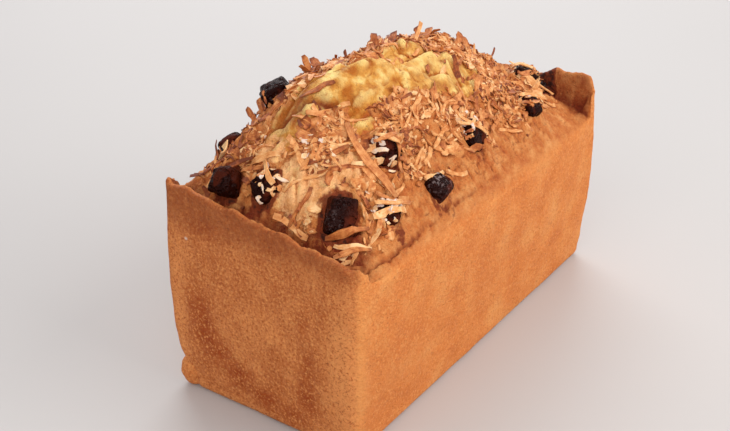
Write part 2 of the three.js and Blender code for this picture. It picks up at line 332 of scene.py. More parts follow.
def unevenness(x, y, rise):
    """How the crown departs from an even one: a lower shoulder behind the crest, and a fuller far half."""
    drop = SHOULDER_DROP + CREST_DROP * hump(x, -8, 24)
    shoulder = smooth(6, 20, y) * smooth(34, 10, x) * smooth(0.05, 0.35, rise)
    return FAR_LIFT * dome(x, y, (48, 8), (28, 16)) - drop * shoulder


def crust_height(x, y):
    trough = TROUGH_DEPTH * hump(HALF_LENGTH + x, 7, 6)
    rise = crown_along(x) * crown_across(y)
    torn = burst(x, y)
    relief = smooth(0.05, 0.3, rise) * (lumps(x, y) * (1 - torn) + ridges(x, y) * torn)
    return base_height(y) + CROWN_HEIGHT * rise + unevenness(x, y, rise) - trough + relief


def rim_height(x, y):
    base = base_height(y)
    near_end = NEAR_RIM_HEIGHT + NEAR_RIM_TILT * y - base
    ear = EAR_HEIGHT * smooth(-16, -25, y) - EAR_NOTCH * smooth(-41, -45, y)
    far_end = FAR_RIM_HEIGHT + ear + FAR_CORNER_LIFT * smooth(20, 40, y) - base
    chips = 0.5 * np.sin(y / 3.3 + x / 7) + 0.35 * np.sin(y / 1.9 + 2)
    near_share = np.exp(-(HALF_LENGTH + x) / 16)
    far_share = np.exp(-(HALF_LENGTH - x) / 5)
    return base + near_end * near_share + far_end * far_share + chips * (near_share + far_share)


def from_edges(x, y):
    """How far a place on the top is inside the ends and inside the long sides."""
    return HALF_LENGTH - np.abs(x), HALF_WIDTH - np.abs(y)


def rim_share(x, y):
    """How much of the rim a place has: 1 on the rim, 0 on the crust inside it."""
    from_end, from_side = from_edges(x, y)
    near_corner = np.exp(-(HALF_LENGTH + x) / 14)
    far_corner = np.exp(-(HALF_LENGTH - x) / 6)
    end_rim = smooth(RIM_THICKNESS + RIM_SLOPE, RIM_THICKNESS - 1, from_end)
    side_rim = smooth(RIM_THICKNESS + 2.5, RIM_THICKNESS - 1.5, from_side)
    raised_side = side_rim * clamp01(1.3 * np.maximum(near_corner, far_corner))
    return most(end_rim, raised_side, smooth(1.5, 0, from_side))


def corner_pocket(x, y):
    """1 in the hollow inside each corner, 0 away from it."""
    return dome(*from_edges(x, y), (7, 6), (5, 5))


def top_height(x, y):
    inside = crust_height(x, y) - CORNER_POCKET_DEPTH * corner_pocket(x, y)
    on_rim = HALF_LENGTH - np.abs(x) < RIM_THICKNESS + RIM_SLOPE
    along_rim = np.where(on_rim, np.sign(x) * HALF_LENGTH, x)
    return mix(inside, rim_height(along_rim, y), rim_share(x, y))


def top_normal(x, y):
    step = 2.0
    slope_x = (top_height(x + step, y) - top_height(x - step, y)) / (2 * step)
    slope_y = (top_height(x, y + step) - top_height(x, y - step)) / (2 * step)
    normal = np.stack([-slope_x, -slope_y, np.ones_like(slope_x)], axis=-1)
    return normal / np.linalg.norm(normal, axis=-1, keepdims=True)


def corner_tuck(x, y, z):
    tuck = CORNER_TUCK * smooth(TUCK_HEIGHT, 0, z) * np.exp(-(HALF_LENGTH + x) / 18)
    return np.where(y < 0, 0.0, tuck)


# ---- finer forms that only the dressed loaf has ----
def spot(x, y, at, radii):
    """1 in the middle of an oval on the top, 0 outside it."""
    return smooth(1.25, 0.55, np.hypot((x - at[0]) / radii[0], (y - at[1]) / radii[1]))


def spots(x, y, table):
    """The greatest share of several ovals on the top, each with its place, its radii and its weight."""
    return most(*(weight * spot(x, y, at, radii) for at, radii, weight in table))


def cheek(x, y):
    """The soft pale fold of crumb on the near slope of the crown."""
    return spots(x, y, CHEEK_SPOTS)


def edge_crack(x, y):
    """The torn line along the near long edge: its depth, and the lip that stands outside it."""
    wander = 0.5 * rough(x, y * 0, 9, 31) + 0.35 * rough(x, y * 0, 1.8, 32)
    line = CRACK_LINE + wander + 2.0 * smooth(-72, -86, x)
    share = smooth(-91, -82, x) * smooth(30, -40, x) * clamp01(0.8 + 0.5 * rough(x, y * 0, 4, 33))
    beyond = line - y
    cut = CRACK_DEPTH * share * hump(beyond, 0, 0.6)
    ragged = 0.6 + 0.8 * rough(x, y * 0, 1.4, 34)
    lip = LIP_HEIGHT * share * smooth(0.2, 1.0, beyond) * smooth(3.0, 1.2, beyond) * ragged
    return np.maximum(cut, 0), lip


def crevice(x, y):
    """1 along the dark crevice that runs down beside the burst on the near slope, 0 away from it."""
    across = (x + y + 52 + 1.5 * rough(x, y, 5, 36)) / math.sqrt(2)
    along = (x - y + 80) / math.sqrt(2)
    return hump(across, 0, 1.7) * smooth(-4, 2, along) * smooth(27, 20, along)


def chunk_distance(x, y):
    """How far a place on the top is from the nearest chunk's middle, in its half edges."""
    nearest = np.full(np.shape(x), 1e3)
    for at_x, at_y, edge in CHUNK_PLACES:
        nearest = np.minimum(nearest, np.hypot(x - at_x, y - at_y) / (edge / 2))
    return nearest


def ledge(x, y):
    """1 on the smooth crust between the shreds and the near long edge, 0 up on the crown."""
    return smooth(-29, -35, y + 2.5 * rough(x, y, 9, 35)) * smooth(-64, -48, x)


def open_crumb(x, y):
    """Where the soft crumb shows: the burst, and the torn places round it."""
    wavy = 3 * rough(x, y, 7, 15)
    left = 0.85 * spot(x + wavy, y, (-66, 10), (12, 9))
    right = spot(x, y + wavy, (19, -14), (22, 9))
    bare_spot = spot(x, y, (-47, -12), (7, 5))
    return most(burst(x, y + 0.6 * wavy), left, right, bare_spot)


def puffs(x, y, size, seed):
    """Rounded puffs with creases between them, from 0 to 1."""
    return np.abs(rough(x, y, size, seed))


def crust_relief(x, y):
    """The crust's relief: crumb where it is torn, folds on the cheek, and even skin on plain places."""
    torn = open_crumb(x, y)
    fold = cheek(x, y) * (1 - torn)
    sway = x + 3.5 * rough(x, y, 11, 16)
    broad = 5.4 * puffs(0.5 * sway, y + 0.15 * x, 8.0, 1) + 2.8 * puffs(0.7 * sway, y, 4.4, 2)
    crumb = broad + 0.6 * puffs(x, y, 1.9, 3) - 2.3
    crust = 2.4 * puffs(x, y, 6, 4) + 1.5 * puffs(x, y, 2.7, 5) + 0.5 * rough(x, y, 1.4, 6) - 1.3
    down = 0.87 * x + 0.5 * y
    beside = 0.87 * y - 0.5 * x
    folds = 2.6 * puffs(0.4 * down, beside, 3.4, 7) + puffs(0.6 * down, beside, 1.7, 8) - 1.2
    on_crown = smooth(0.03, 0.2, crown_along(x) * crown_across(y))
    torn_skin = puffs(x, 1.8 * y, 3.6, 9) + 0.8 * puffs(x, 1.6 * y, 1.7, 10)
    even = 1.5 * torn_skin * (0.4 + 0.6 * on_crown) - 0.5
    baked = mix(crust, even, np.maximum(ledge(x, y), 1 - on_crown))
    relief = mix(mix(baked, folds, fold), crumb, torn)
    collar = COLLAR_HEIGHT * hump(chunk_distance(x, y), 1.15, 0.3) * (0.6 + 0.6 * rough(x, y, 3, 11))
    return relief + collar - CREVICE_DEPTH * crevice(x, y)


def fillet(radius, inside):
    """How far an edge is rounded off at a distance inside it."""
    into = np.maximum(0, radius - inside)
    return radius - np.sqrt(np.maximum(0, radius**2 - into**2))


def detail_height(x, y):
    """What the dressed crust adds to the solid's top, in millimetres."""
    from_end, from_side = from_edges(x, y)
    share = rim_share(x, y)
    crumbly = 0.25 + 0.6 * smooth(0, 30, x)
    grain = crumbly * (rough(x, y, 5.0, 12) + rough(x, y, 2.0, 17)) + 0.35 * rough(x, y, 1.1, 13)
    crust = (1 - share) * smooth(0.5, 4, from_side) * crust_relief(x, y)
    filled = POCKET_FILL * corner_pocket(x, y) * (1 - share)
    rim = share * smooth(0, 1.5, from_end) * grain
    cut, lip = edge_crack(x, y)
    soft_edge = SHOULDER_RADIUS * smooth(2, 12, from_end) + smooth(12, 2, from_end)
    rounding = fillet(soft_edge, from_side) + fillet(RIM_EDGE_RADIUS, from_end)
    return crust + filled + rim - cut + lip - rounding


# ---- mesh helpers ----
def active_only(piece):
    bpy.ops.object.select_all(action="DESELECT")
    piece.select_set(True)
    bpy.context.view_layer.objects.active = piece


def read_points(mesh):
    flat = np.empty(len(mesh.vertices) * 3)
    mesh.vertices.foreach_get("co", flat)
    return flat.reshape(-1, 3)


def write_points(mesh, points):
    mesh.vertices.foreach_set("co", np.ascontiguousarray(points, dtype=np.float32).ravel())
    mesh.update()


def write_attributes(mesh, **values):
    """Writes a value for each point of a mesh under each name."""
    for name, value in values.items():
        attribute = mesh.attributes.new(name, "FLOAT", "POINT")
        attribute.data.foreach_set("value", np.ascontiguousarray(value, dtype=np.float32))


def read_edges(mesh):
    ends = np.empty(len(mesh.edges) * 2, dtype=np.int32)
    mesh.edges.foreach_get("vertices", ends)
    return ends.reshape(-1, 2)


def select_edges_along(piece, axis):
    """Selects, in edit mode, just the edges that run along one axis."""
    bpy.ops.object.mode_set(mode="OBJECT")
    mesh = piece.data
    points = read_points(mesh)
    first, second = read_edges(mesh).T
    run = np.abs(points[first] - points[second])
    mesh.polygons.foreach_set("select", np.zeros(len(mesh.polygons), dtype=bool))
    mesh.vertices.foreach_set("select", np.zeros(len(mesh.vertices), dtype=bool))
    mesh.edges.foreach_set("select", run.argmax(axis=1) == axis)
    bpy.ops.object.mode_set(mode="EDIT")
    bpy.ops.mesh.select_mode(type="EDGE")


def divided_box(name, divisions, open_below=False):
    """A box from -1 to 1, its edges along each axis divided by that axis's factors in turn."""
    bpy.ops.object.select_all(action="DESELECT")
    bpy.ops.mesh.primitive_cube_add(size=2)
    box = bpy.context.object
    box.name = name
    box.data.name = name
    if open_below:
        bpy.ops.object.mode_set(mode="EDIT")
        bpy.ops.mesh.select_mode(type="FACE")
        bpy.ops.mesh.select_all(action="DESELECT")
        bpy.ops.object.mode_set(mode="OBJECT")
        for face in box.data.polygons:
            face.select = face.center.z < -0.5
        bpy.ops.object.mode_set(mode="EDIT")
        bpy.ops.mesh.delete(type="ONLY_FACE")
    for axis, factors in enumerate(divisions):
        for factor in factors:
            select_edges_along(box, axis)
            bpy.ops.mesh.subdivide(number_cuts=factor - 1)
    if open_below:
        bpy.ops.mesh.select_all(action="DESELECT")
        bpy.ops.mesh.select_non_manifold(extend=False)
        bpy.ops.mesh.edge_face_add()
    bpy.ops.object.mode_set(mode="OBJECT")
    return box


def add_group(piece, name, weights):
    """Adds a vertex group, its weights rounded to a number of levels."""
    group = piece.vertex_groups.new(name=name)
    levels = np.round(clamp01(weights) * GROUP_LEVELS).astype(int)
    for level in range(1, GROUP_LEVELS + 1):
        group.add(np.nonzero(levels == level)[0].tolist(), level / GROUP_LEVELS, "REPLACE")


def apply_modifier(piece, kind, **settings):
    """Adds one modifier with its settings and applies it."""
    layer = piece.modifiers.new(kind.lower(), kind)
    for key, value in settings.items():
        setattr(layer, key, value)
    active_only(piece)
    bpy.ops.object.modifier_apply(modifier=layer.name)


def displace(piece, size, strength, group="", depth=None):
    """Applies one layer of cloudy relief, its size and strength in millimetres."""
    pattern = bpy.data.textures.new("clouds_relief", "CLOUDS")
    pattern.noise_scale = size * MM
    if depth is not None:
        pattern.noise_depth = depth
    layer = dict(texture=pattern, texture_coords="LOCAL", strength=strength * MM, vertex_group=group)
    apply_modifier(piece, "DISPLACE", **layer)


def add_object(name, data):
    piece = bpy.data.objects.new(name, data)
    bpy.context.scene.collection.objects.link(piece)
    return piece


def neighbour_mean(mesh, values, rounds):
    """Values smoothed over the surface by taking the mean of each point's neighbours in several rounds."""
    first, second = read_edges(mesh).T
    count = len(values)
    shared = np.bincount(first, minlength=count) + np.bincount(second, minlength=count)
    for _ in range(rounds):
        total = np.bincount(first, values[second], count) + np.bincount(second, values[first], count)
        values = 0.5 * values + 0.5 * total / np.maximum(shared, 1)
    return values


# ---- material helpers ----
class Recipe:
    """A material's node tree, added to one node at a time."""

    def __init__(self, name):
        self.material = bpy.data.materials.new(name)
        self.material.use_nodes = True
        self.tree = self.material.node_tree
        self.shader = self.tree.nodes["Principled BSDF"]
        self.place = self.node("ShaderNodeTexCoord").outputs["Object"]

    def node(self, kind, inputs=None, **settings):
        made = self.tree.nodes.new(kind)
        for key, value in settings.items():
            setattr(made, key, value)
        for key, value in (inputs or {}).items():
            self.feed(made.inputs[key], value)
        return made

    def feed(self, socket, value):
        if isinstance(value, bpy.types.NodeSocket):
            self.tree.links.new(value, socket)
        elif socket.type == "RGBA":
            socket.default_value = (*value[:3], 1.0)
        else:
            socket.default_value = value

    def value(self, attribute):
        return self.node("ShaderNodeAttribute", attribute_name=attribute).outputs["Fac"]

    def noise(self, size, detail=2.0, roughness=0.5, place=None):
        """Noise from 0 to 1 with lumps of about a size in millimetres."""
        inputs = {"Vector": place or self.place, "Scale": 1 / (size * MM)}
        inputs.update({"Detail": detail, "Roughness": roughness})
        return self.node("ShaderNodeTexNoise", inputs).outputs["Fac"]

    def cells(self, size):
        inputs = {"Vector": self.place, "Scale": 1 / (size * MM)}
        return self.node("ShaderNodeTexVoronoi", inputs).outputs["Distance"]

    def math(self, operation, a, b=0.0, clamp=False):
        return self.node("ShaderNodeMath", {0: a, 1: b}, operation=operation, use_clamp=clamp).outputs[0]

    def span(self, value, low, high, to_low=0.0, to_high=1.0):
        """Maps low to high smoothly onto a new range."""
        inputs = {"Value": value, "From Min": low, "From Max": high, "To Min": to_low, "To Max": to_high}
        return self.node("ShaderNodeMapRange", inputs, interpolation_type="SMOOTHSTEP").outputs["Result"]

    def blend(self, share, a, b):
        return self.node("ShaderNodeMix", {0: share, 6: a, 7: b}, data_type="RGBA").outputs[2]

    def cover(self, under, share, colour, most=1.0):
        """Lays a colour over another by a share times its most."""
        return self.blend(share if most == 1.0 else self.times(share, most), under, colour)

    def times(self, a, b, clamp=False):
        return self.math("MULTIPLY", a, b, clamp)

    def ramp(self, value, stops):
        made = self.node("ShaderNodeValToRGB", {"Fac": value})
        elements = made.color_ramp.elements
        while len(elements) < len(stops):
            elements.new(0.5)
        for element, (position, colour) in zip(elements, stops):
            element.position = position
            element.color = (*colour, 1.0)
        return made.outputs["Color"]

    def blob(self, at, radii):
        """1 at a point of the object, given in millimetres, and 0 beyond an ellipsoid round it."""
        kind = "ShaderNodeVectorMath"
        moved = self.node(kind, {0: self.place, 1: Vector(at) * MM}, operation="SUBTRACT")
        shrink = tuple(1 / (r * MM) for r in radii)
        scaled = self.node(kind, {0: moved.outputs[0], 1: shrink}, operation="MULTIPLY")
        reach = self.node(kind, {0: scaled.outputs[0]}, operation="LENGTH")
        return self.span(reach.outputs["Value"], 1.0, 0.0)

    def bump(self, height, strength, distance, under=None):
        inputs = {"Height": height, "Strength": strength, "Distance": distance * MM}
        if under is not None:
            inputs["Normal"] = under
        return self.node("ShaderNodeBump", inputs).outputs["Normal"]

    def finish(self, colour, roughness, normal, specular):
        values = {"Base Color": colour, "Roughness": roughness, "Normal": normal}
        values["Specular IOR Level"] = specular
        for name, value in values.items():
            self.feed(self.shader.inputs[name], value)
        return self.material


# ---- materials ----
# Darker and paler patches of the near end's face: the place on it (y, z), the radii and the strength. All
# reach this far into the loaf.
END_PATCH_DEPTH = 12
END_PATCHES = [
    ((29, 38), (11, 22), 0.95),
    ((23, 26), (13, 13), 0.9),
    ((11, 17), (14, 11), 0.95),
    ((-2, 11), (16, 10), 0.95),
    ((-16, 8), (12, 8), 0.7),
    ((-21, 52), (7, 14), 0.5),
    ((-24, 37), (8, 14), 0.65),
    ((-22, 20), (9, 13), 0.9),
    ((31, 62), (9, 15), 0.4),
    ((24, 80), (16, 7), 0.6),
]
END_PALE = [
    ((41, 40), (6, 52), 0.75),
    ((-38, 40), (9, 50), 0.9),
    ((14, 2), (34, 5), 0.6),
    ((4, 46), (15, 17), 0.45),
    ((34, 66), (8, 9), 0.5),
]


def wall_colour(r, colours):
    """Colour of the walls: warm tan on the long sides, browner patches on the ends, with a sandy grain."""
    mottle = r.noise(16, detail=4)
    grain = r.noise(1.2, roughness=0.8)
    pits = r.noise(1.7, roughness=0.6)
    speck = r.noise(2.6, roughness=0.6)
    side = r.ramp(mottle, [(0.25, colours.wall_dark), (0.5, colours.wall), (0.8, colours.wall_light)])
    side = r.cover(side, r.blob((-80, -HALF_WIDTH, 22), (32, 20, 34)), colours.wall_dark, 0.55)
    side = r.cover(side, r.span(grain, 0.52, 0.64, 0.0, 0.65), colours.wall_light)
    side = r.cover(side, r.span(grain, 0.47, 0.34, 0.0, 0.7), colours.wall_dark)
    side = r.cover(side, r.span(speck, 0.36, 0.26, 0.0, 0.8), colours.end)
    cloud = r.noise(12, detail=4, roughness=0.55)
    end = r.ramp(cloud, [(0.2, colours.end_dark), (0.5, colours.end), (0.85, colours.end_light)])
    for at, radii, share in END_PATCHES:
        patch = r.blob((-HALF_LENGTH, *at), (END_PATCH_DEPTH, *radii))
        ragged = r.times(patch, r.span(r.noise(5, detail=4), 0.25, 0.7, 0.65, 1.2))
        end = r.cover(end, r.times(ragged, share, clamp=True), colours.end_patch)
    for at, radii, share in END_PALE:
        patch = r.blob((-HALF_LENGTH, *at), (END_PATCH_DEPTH, *radii))
        end = r.cover(end, patch, colours.end_light, share)
    edge = r.blob((-HALF_LENGTH, -HALF_WIDTH, 30), (END_PATCH_DEPTH, 17, 78))
    end = r.cover(end, edge, colours.end_light, 0.75)
    end = r.cover(end, r.span(grain, 0.52, 0.66, 0.0, 0.7), colours.wall_light)
    end = r.cover(end, r.span(grain, 0.47, 0.35, 0.0, 0.6), colours.end_patch)
    end = r.cover(end, r.span(pits, 0.37, 0.3, 0.0, 0.6), colours.end_patch)
    fleck = r.blob((-HALF_LENGTH, 34.6, 72.8), (6, 1.3, 1.0))
    end = r.cover(end, fleck, colours.coconut_white)
    side = r.cover(side, edge, colours.wall_light, 0.6)
    return r.blend(r.value("end"), side, end)


def crumb_colour(r, colours, patchy, raised_highlight):
    """The torn crumb: painted gold and brown shade in the hollows, a painted highlight on the puffs, and
    paler crumb towards the far half.
    """
    hollow = r.value("hollow")
    shades = [(0.35, colours.crumb_gold), (0.51, colours.crumb), (0.66, colours.crumb_pale)]
    crumb = r.ramp(r.noise(7, detail=3), shades)
    golden = r.times(r.blob((-56, 15, 110), (24, 22, 24)), r.span(patchy, 0.3, 0.7, 1.0, 0.5))
    crumb = r.cover(crumb, golden, colours.crumb_gold)
    crumb = r.cover(crumb, golden, colours.crust_dark, r.span(patchy, 0.42, 0.62, 0.0, 0.8))
    pale = r.times(r.blob((12, -9, 116), (28, 16, 24)), r.span(patchy, 0.35, 0.6, 0.2, 0.7))
    crumb = r.cover(crumb, pale, colours.crumb_pale)
    # Painted highlight: the palest crumb on the puffs.
    crumb = r.cover(crumb, raised_highlight, colours.crumb_pale, 0.85)
    # Painted shade: gold, then brown, in the hollows.
    crumb = r.cover(crumb, r.span(hollow, 0.15, 0.8), colours.crumb_gold)
    crumb = r.cover(crumb, r.span(hollow, 0.7, 1.5, 0.0, 0.9), colours.crust_dark)
    singed = r.span(r.noise(3.2, detail=4, roughness=0.7), 0.6, 0.74, 0.0, 0.7)
    return r.cover(crumb, singed, colours.crust)


def torn_share(r, name, size, low, high):
    """A painted share with a ragged edge."""
    ragged = r.span(r.noise(size, detail=4, roughness=0.7), 0.3, 0.7, low, high)
    return r.math("ADD", r.value(name), ragged)


def crust_colour(r, colours):
    """Colour of the crust on top: golden tan, with painted red-brown shade in the hollows and a painted
    highlight on the rises, and the pale crumb of the burst.
    """
    patchy = r.noise(6, detail=5, roughness=0.65)
    fine = r.noise(1.6, detail=3, roughness=0.7)
    hollow = r.span(r.value("hollow"), 0.0, 1.1)
    raised_highlight = r.span(r.value("hollow"), -0.15, -1.2)
    crust = r.ramp(patchy, [(0.3, colours.crust_dark), (0.5, colours.crust), (0.7, colours.crust_light)])
    # Painted highlight on the rises, and painted red-brown shade in the hollows.
    crust = r.cover(crust, raised_highlight, colours.crust_light, 0.55)
    crust = r.cover(crust, hollow, colours.crust_deep, 0.85)
    torn = torn_share(r, "crumb", 4, -0.42, 0.3)
    crust = r.cover(crust, r.span(torn, 0.3, 0.65), crumb_colour(r, colours, patchy, raised_highlight))
    shades = [(0.38, colours.crust_light), (0.54, colours.cheek), (0.76, colours.crumb_pale)]
    # The pale fold, with painted shade in its hollows.
    fold = r.cover(r.ramp(patchy, shades), hollow, colours.crust, 0.8)
    soft = torn_share(r, "cheek", 3.5, -0.35, 0.35)
    crust = r.cover(crust, r.span(soft, 0.35, 0.75), fold)
    # Painted shade between the shreds on the left slope of the crest.
    strand_shade = r.times(r.blob((-60, 9, 116), (15, 12, 16)), r.span(patchy, 0.3, 0.65, 1.0, 0.3))
    crust = r.cover(crust, strand_shade, colours.rim_brown)
    baked = r.math("SUBTRACT", 1.0, r.times(r.value("crumb"), 0.8), clamp=True)
    crust = r.cover(crust, baked, colours.crust_dark, r.span(fine, 0.45, 0.28, 0.0, 0.5))
    crust = r.cover(crust, baked, colours.crust_light, r.span(fine, 0.53, 0.7, 0.0, 0.35))
    # Painted red-brown shade behind the rims, inside them, in the crevice and in the corner pockets.
    deep = r.times(r.value("deep"), r.span(patchy, 0.3, 0.65, 1.2, 0.7), clamp=True)
    return r.cover(crust, deep, colours.crust_deep)


def crust_material(colours):
    """The whole loaf's baked surface."""
    r = Recipe("baked_crust")
    colour = r.blend(r.value("top"), wall_colour(r, colours), crust_colour(r, colours))
    # The brown band under the near rim, and painted shade in the torn line along the near edge.
    brown = r.times(r.value("scorch"), r.span(r.noise(2.5, detail=4), 0.25, 0.6, 0.7, 1.1), clamp=True)
    colour = r.cover(colour, brown, colours.rim_brown)
    # Melted chocolate and painted shade round the chunks: red-brown round each, chocolate at its foot.
    melt = r.math("ADD", r.value("melt"), r.span(r.noise(2.5, detail=3), 0.3, 0.7, -0.3, 0.15))
    colour = r.cover(colour, r.span(melt, 0.25, 0.7, 0.0, 0.9), colours.crust_deep)
    colour = r.cover(colour, r.span(melt, 0.9, 1.15, 0.0, 0.8), colours.chocolate)
    coarse = r.noise(2.2, detail=5, roughness=0.7)
    normal = r.bump(coarse, 0.8, 1.2)
    normal = r.bump(r.noise(0.9, detail=3, roughness=0.7), 0.9, 0.8, normal)
    normal = r.bump(r.span(r.cells(1.5), 0.05, 0.4), 0.5, 0.5, normal)
    return r.finish(colour, r.span(coarse, 0.3, 0.7, 0.6, 0.85), normal, specular=0.25)


def chocolate_material(colours):
    """Dark chocolate, half melted: black and glossy in places, with dull browner faces and painted grey
    glints and sheen.
    """
    r = Recipe("melted_chocolate")
    fine = r.noise(0.9, detail=4, roughness=0.65)
    glossy_face = r.blob((-84, -22, 88), (6, 9, 14))
    dull = r.span(r.noise(9), 0.5, 0.6)
    dull = r.math("ADD", dull, r.blob((-75, -30, 88), (8, 6, 14)), clamp=True)
    dull = r.math("SUBTRACT", dull, glossy_face, clamp=True)
    dull = r.math("SUBTRACT", dull, r.blob((-84, 23, 97), (10, 10, 20)), clamp=True)
    colour = r.blend(dull, colours.chocolate, colours.chocolate_brown)
    colour = r.cover(colour, r.span(fine, 0.52, 0.75, 0.0, 0.4), colours.chocolate_brown)
    # Painted glints and sheen: grey spots on two chunks and on the glossy face.
    glint_sheen = r.blob((-43, 30, 112), (9, 9, 10))
    glint_sheen = r.math("ADD", glint_sheen, r.blob((-32, -37, 94), (9, 9, 18)), clamp=True)
    glint_sheen = r.math("ADD", glint_sheen, r.times(glossy_face, 0.4), clamp=True)
    glint_spots = r.span(r.noise(1.6, detail=3, roughness=0.7), 0.52, 0.62, 0.0, 0.8)
    colour = r.cover(colour, glint_spots, colours.glint_sheen, glint_sheen)
    normal = r.bump(r.noise(2.5, detail=3), 0.9, 1.6)
    normal = r.bump(r.span(r.cells(1.9), 0.15, 0.5), 0.9, 0.9, normal)
    normal = r.bump(fine, 0.5, 0.4, normal)
    return r.finish(colour, r.math("ADD", 0.2, r.times(dull, 0.5)), normal, specular=0.05)


def coconut_material(name, stops, tip_colour):
    """Toasted coconut: each shred has its own tone, darker tips, and fibres along its length."""
    r = Recipe(name)
    tone = r.value("tone")
    lie = {"X": r.value("along"), "Y": r.value("across"), "Z": r.times(tone, 40.0)}
    fibre_place = r.node("ShaderNodeCombineXYZ", lie).outputs["Vector"]
    fibres = r.noise(1.0, detail=3, roughness=0.6, place=fibre_place)
    cloud = r.noise(2.6, detail=3, roughness=0.6)
    shade = r.math("ADD", tone, r.span(cloud, 0.25, 0.75, -0.2, 0.2))
    colour = r.ramp(r.math("ADD", shade, r.span(fibres, 0.3, 0.7, -0.1, 0.1)), stops)
    tip = r.times(r.span(r.value("tip"), 0.6, 1.0), r.span(tone, 0.3, 0.9, 0.15, 0.9))
    colour = r.cover(colour, tip, tip_colour)
    roughness = r.span(fibres, 0.3, 0.7, 0.45, 0.65)
    return r.finish(colour, roughness, r.bump(fibres, 0.5, 0.3), specular=0.35)


def floor_material(colours):
    r = Recipe("plain_floor")
    paler = tuple(min(1, c * 1.03) for c in colours.floor)
    colour = r.ramp(r.noise(400), [(0.3, colours.floor), (0.7, paler)])
    return r.finish(colour, 0.6, r.bump(r.noise(30), 0.02, 1.0), specular=0.25)


# ---- the loaf ----
def shape_loaf(unit):
    """Draws a box from -1 to 1 onto the loaf's walls and top. Gives the points, and where each lies."""
    x = HALF_LENGTH * unit[:, 0] * (1 + EDGE_CROWDING - EDGE_CROWDING * unit[:, 0] ** 2)
    y = HALF_WIDTH * unit[:, 1] * (1 + EDGE_CROWDING - EDGE_CROWDING * unit[:, 1] ** 2)
    level = (unit[:, 2] + 1) / 2
    rows = level - ROW_CROWDING * np.sin(2 * np.pi * level)
    on_top = level > 0.9999
    z = (top_height(x, y) + detail_height(x, y)) * np.where(on_top, 1.0, rows)
    inset = WALL_FLARE * (RIM_HEIGHT - z) / RIM_HEIGHT - BARREL * np.sin(np.pi * clamp01(z / RIM_HEIGHT))
    swell = WALL_BULGE * np.cos(np.pi * x / RIM_LENGTH) * smooth(20, 75, z) * np.abs(y / HALF_WIDTH) ** 6
    half_length = HALF_LENGTH - inset
    half_width = HALF_WIDTH - inset - corner_tuck(x, y, z)
    out = y * half_width / HALF_WIDTH + np.sign(y) * swell
    points = np.stack([x * half_length / HALF_LENGTH, out, z], axis=1)
    round_edges(points, half_length, half_width + swell)
    return points, x, y, on_top


def round_edges(points, half_x, half_y):
    """Rounds the upright corners and the foot."""
    radius = np.where((points[:, 0] < 0) & (points[:, 1] < 0), NEAR_CORNER_RADIUS, CORNER_RADIUS)
    beyond_x = np.maximum(0, np.abs(points[:, 0]) - (half_x - radius))
    beyond_y = np.maximum(0, np.abs(points[:, 1]) - (half_y - radius))
    flat = np.maximum(np.hypot(beyond_x, beyond_y), 1e-9)
    pull = np.where((beyond_x > 0) & (beyond_y > 0), np.maximum(beyond_x, beyond_y) / flat, 1.0)
    tuck = fillet(FOOT_RADIUS, points[:, 2])
    for axis, (beyond, half) in enumerate(((beyond_x, half_x), (beyond_y, half_y))):
        points[:, axis] -= np.sign(points[:, axis]) * beyond * (1 - pull)
        points[:, axis] *= 1 - tuck / half


def melt_share(x, y):
    """How dark the crust is from melted chocolate and from painted shade round each chunk: most just below
    and in front of the upper chunks.
    """
    share = spots(x, y, MELT_TAILS)
    for at_x, at_y, edge in CHUNK_PLACES:
        away = np.hypot(x - at_x + 0.5, y - at_y + 0.2) / (edge / 2)
        strength = 1.0 if -29 < at_y < 34 else 0.45
        share = np.maximum(share, strength * smooth(1.25, 0.95, away + 0.2 * rough(x, y, 3, 21)))
    return share


def deep_share(x, y):
    """Painted red-brown shade in the hollows: behind the near rim, inside the far rim, in the crevice and
    the corners.
    """
    from_near = HALF_LENGTH + x
    from_far = HALF_LENGTH - x
    behind_near = 0.95 * smooth(1.8, 4.0, from_near) * smooth(13, 6, from_near + 2 * rough(x, y, 6, 18))
    behind_far = 0.65 * smooth(1.2, 3.5, from_far) * smooth(12, 7, from_far)
    by_corner = 0.9 * spot(x, y, (-84, -34), (9, 6))
    return most(behind_near, behind_far, by_corner, 0.9 * crevice(x, y), 0.9 * corner_pocket(x, y))


def paint_loaf(mesh, x, y, on_top):
    """Writes where each part of the surface's colour goes."""
    from_end, from_side = from_edges(x, y)
    inside = np.where(on_top, smooth(0.6, 2.4, np.minimum(from_end, from_side + 0.5)), 0.0)
    heights = read_points(mesh)[:, 2] / MM
    # How far each point lies below its neighbours, which sets the painted shade in the hollows and the
    # painted highlight on the rises.
    hollow = neighbour_mean(mesh, heights, HOLLOW_ROUNDS) - heights
    band = smooth(70, 87, heights) * smooth(5, 1, HALF_LENGTH + x)
    crack = edge_crack(x, y)[0]
    # The inner faces of the rims, where a share of the painted shade goes.
    rim_inner_shade = smooth(0.25, 0.8, rim_share(x, y)) * smooth(1.4, 3.2, from_end) * smooth(30, 8, from_end)
    write_attributes(
        mesh,
        top=inside,
        end=smooth(8, 1.0, from_end) * smooth(-2.5, 2.5, from_side - from_end + 0.5),
        crumb=open_crumb(x, y) * on_top,
        cheek=cheek(x, y) * on_top,
        deep=np.maximum(deep_share(x, y), 0.35 * rim_inner_shade) * on_top,
        melt=melt_share(x, y) * on_top,
        hollow=hollow * on_top,
        # The brown band under the near rim, and painted shade in the torn near edge.
        scorch=np.maximum(0.7 * band * (1 - inside), 0.4 * clamp01(crack / 1.1) * on_top),
    )


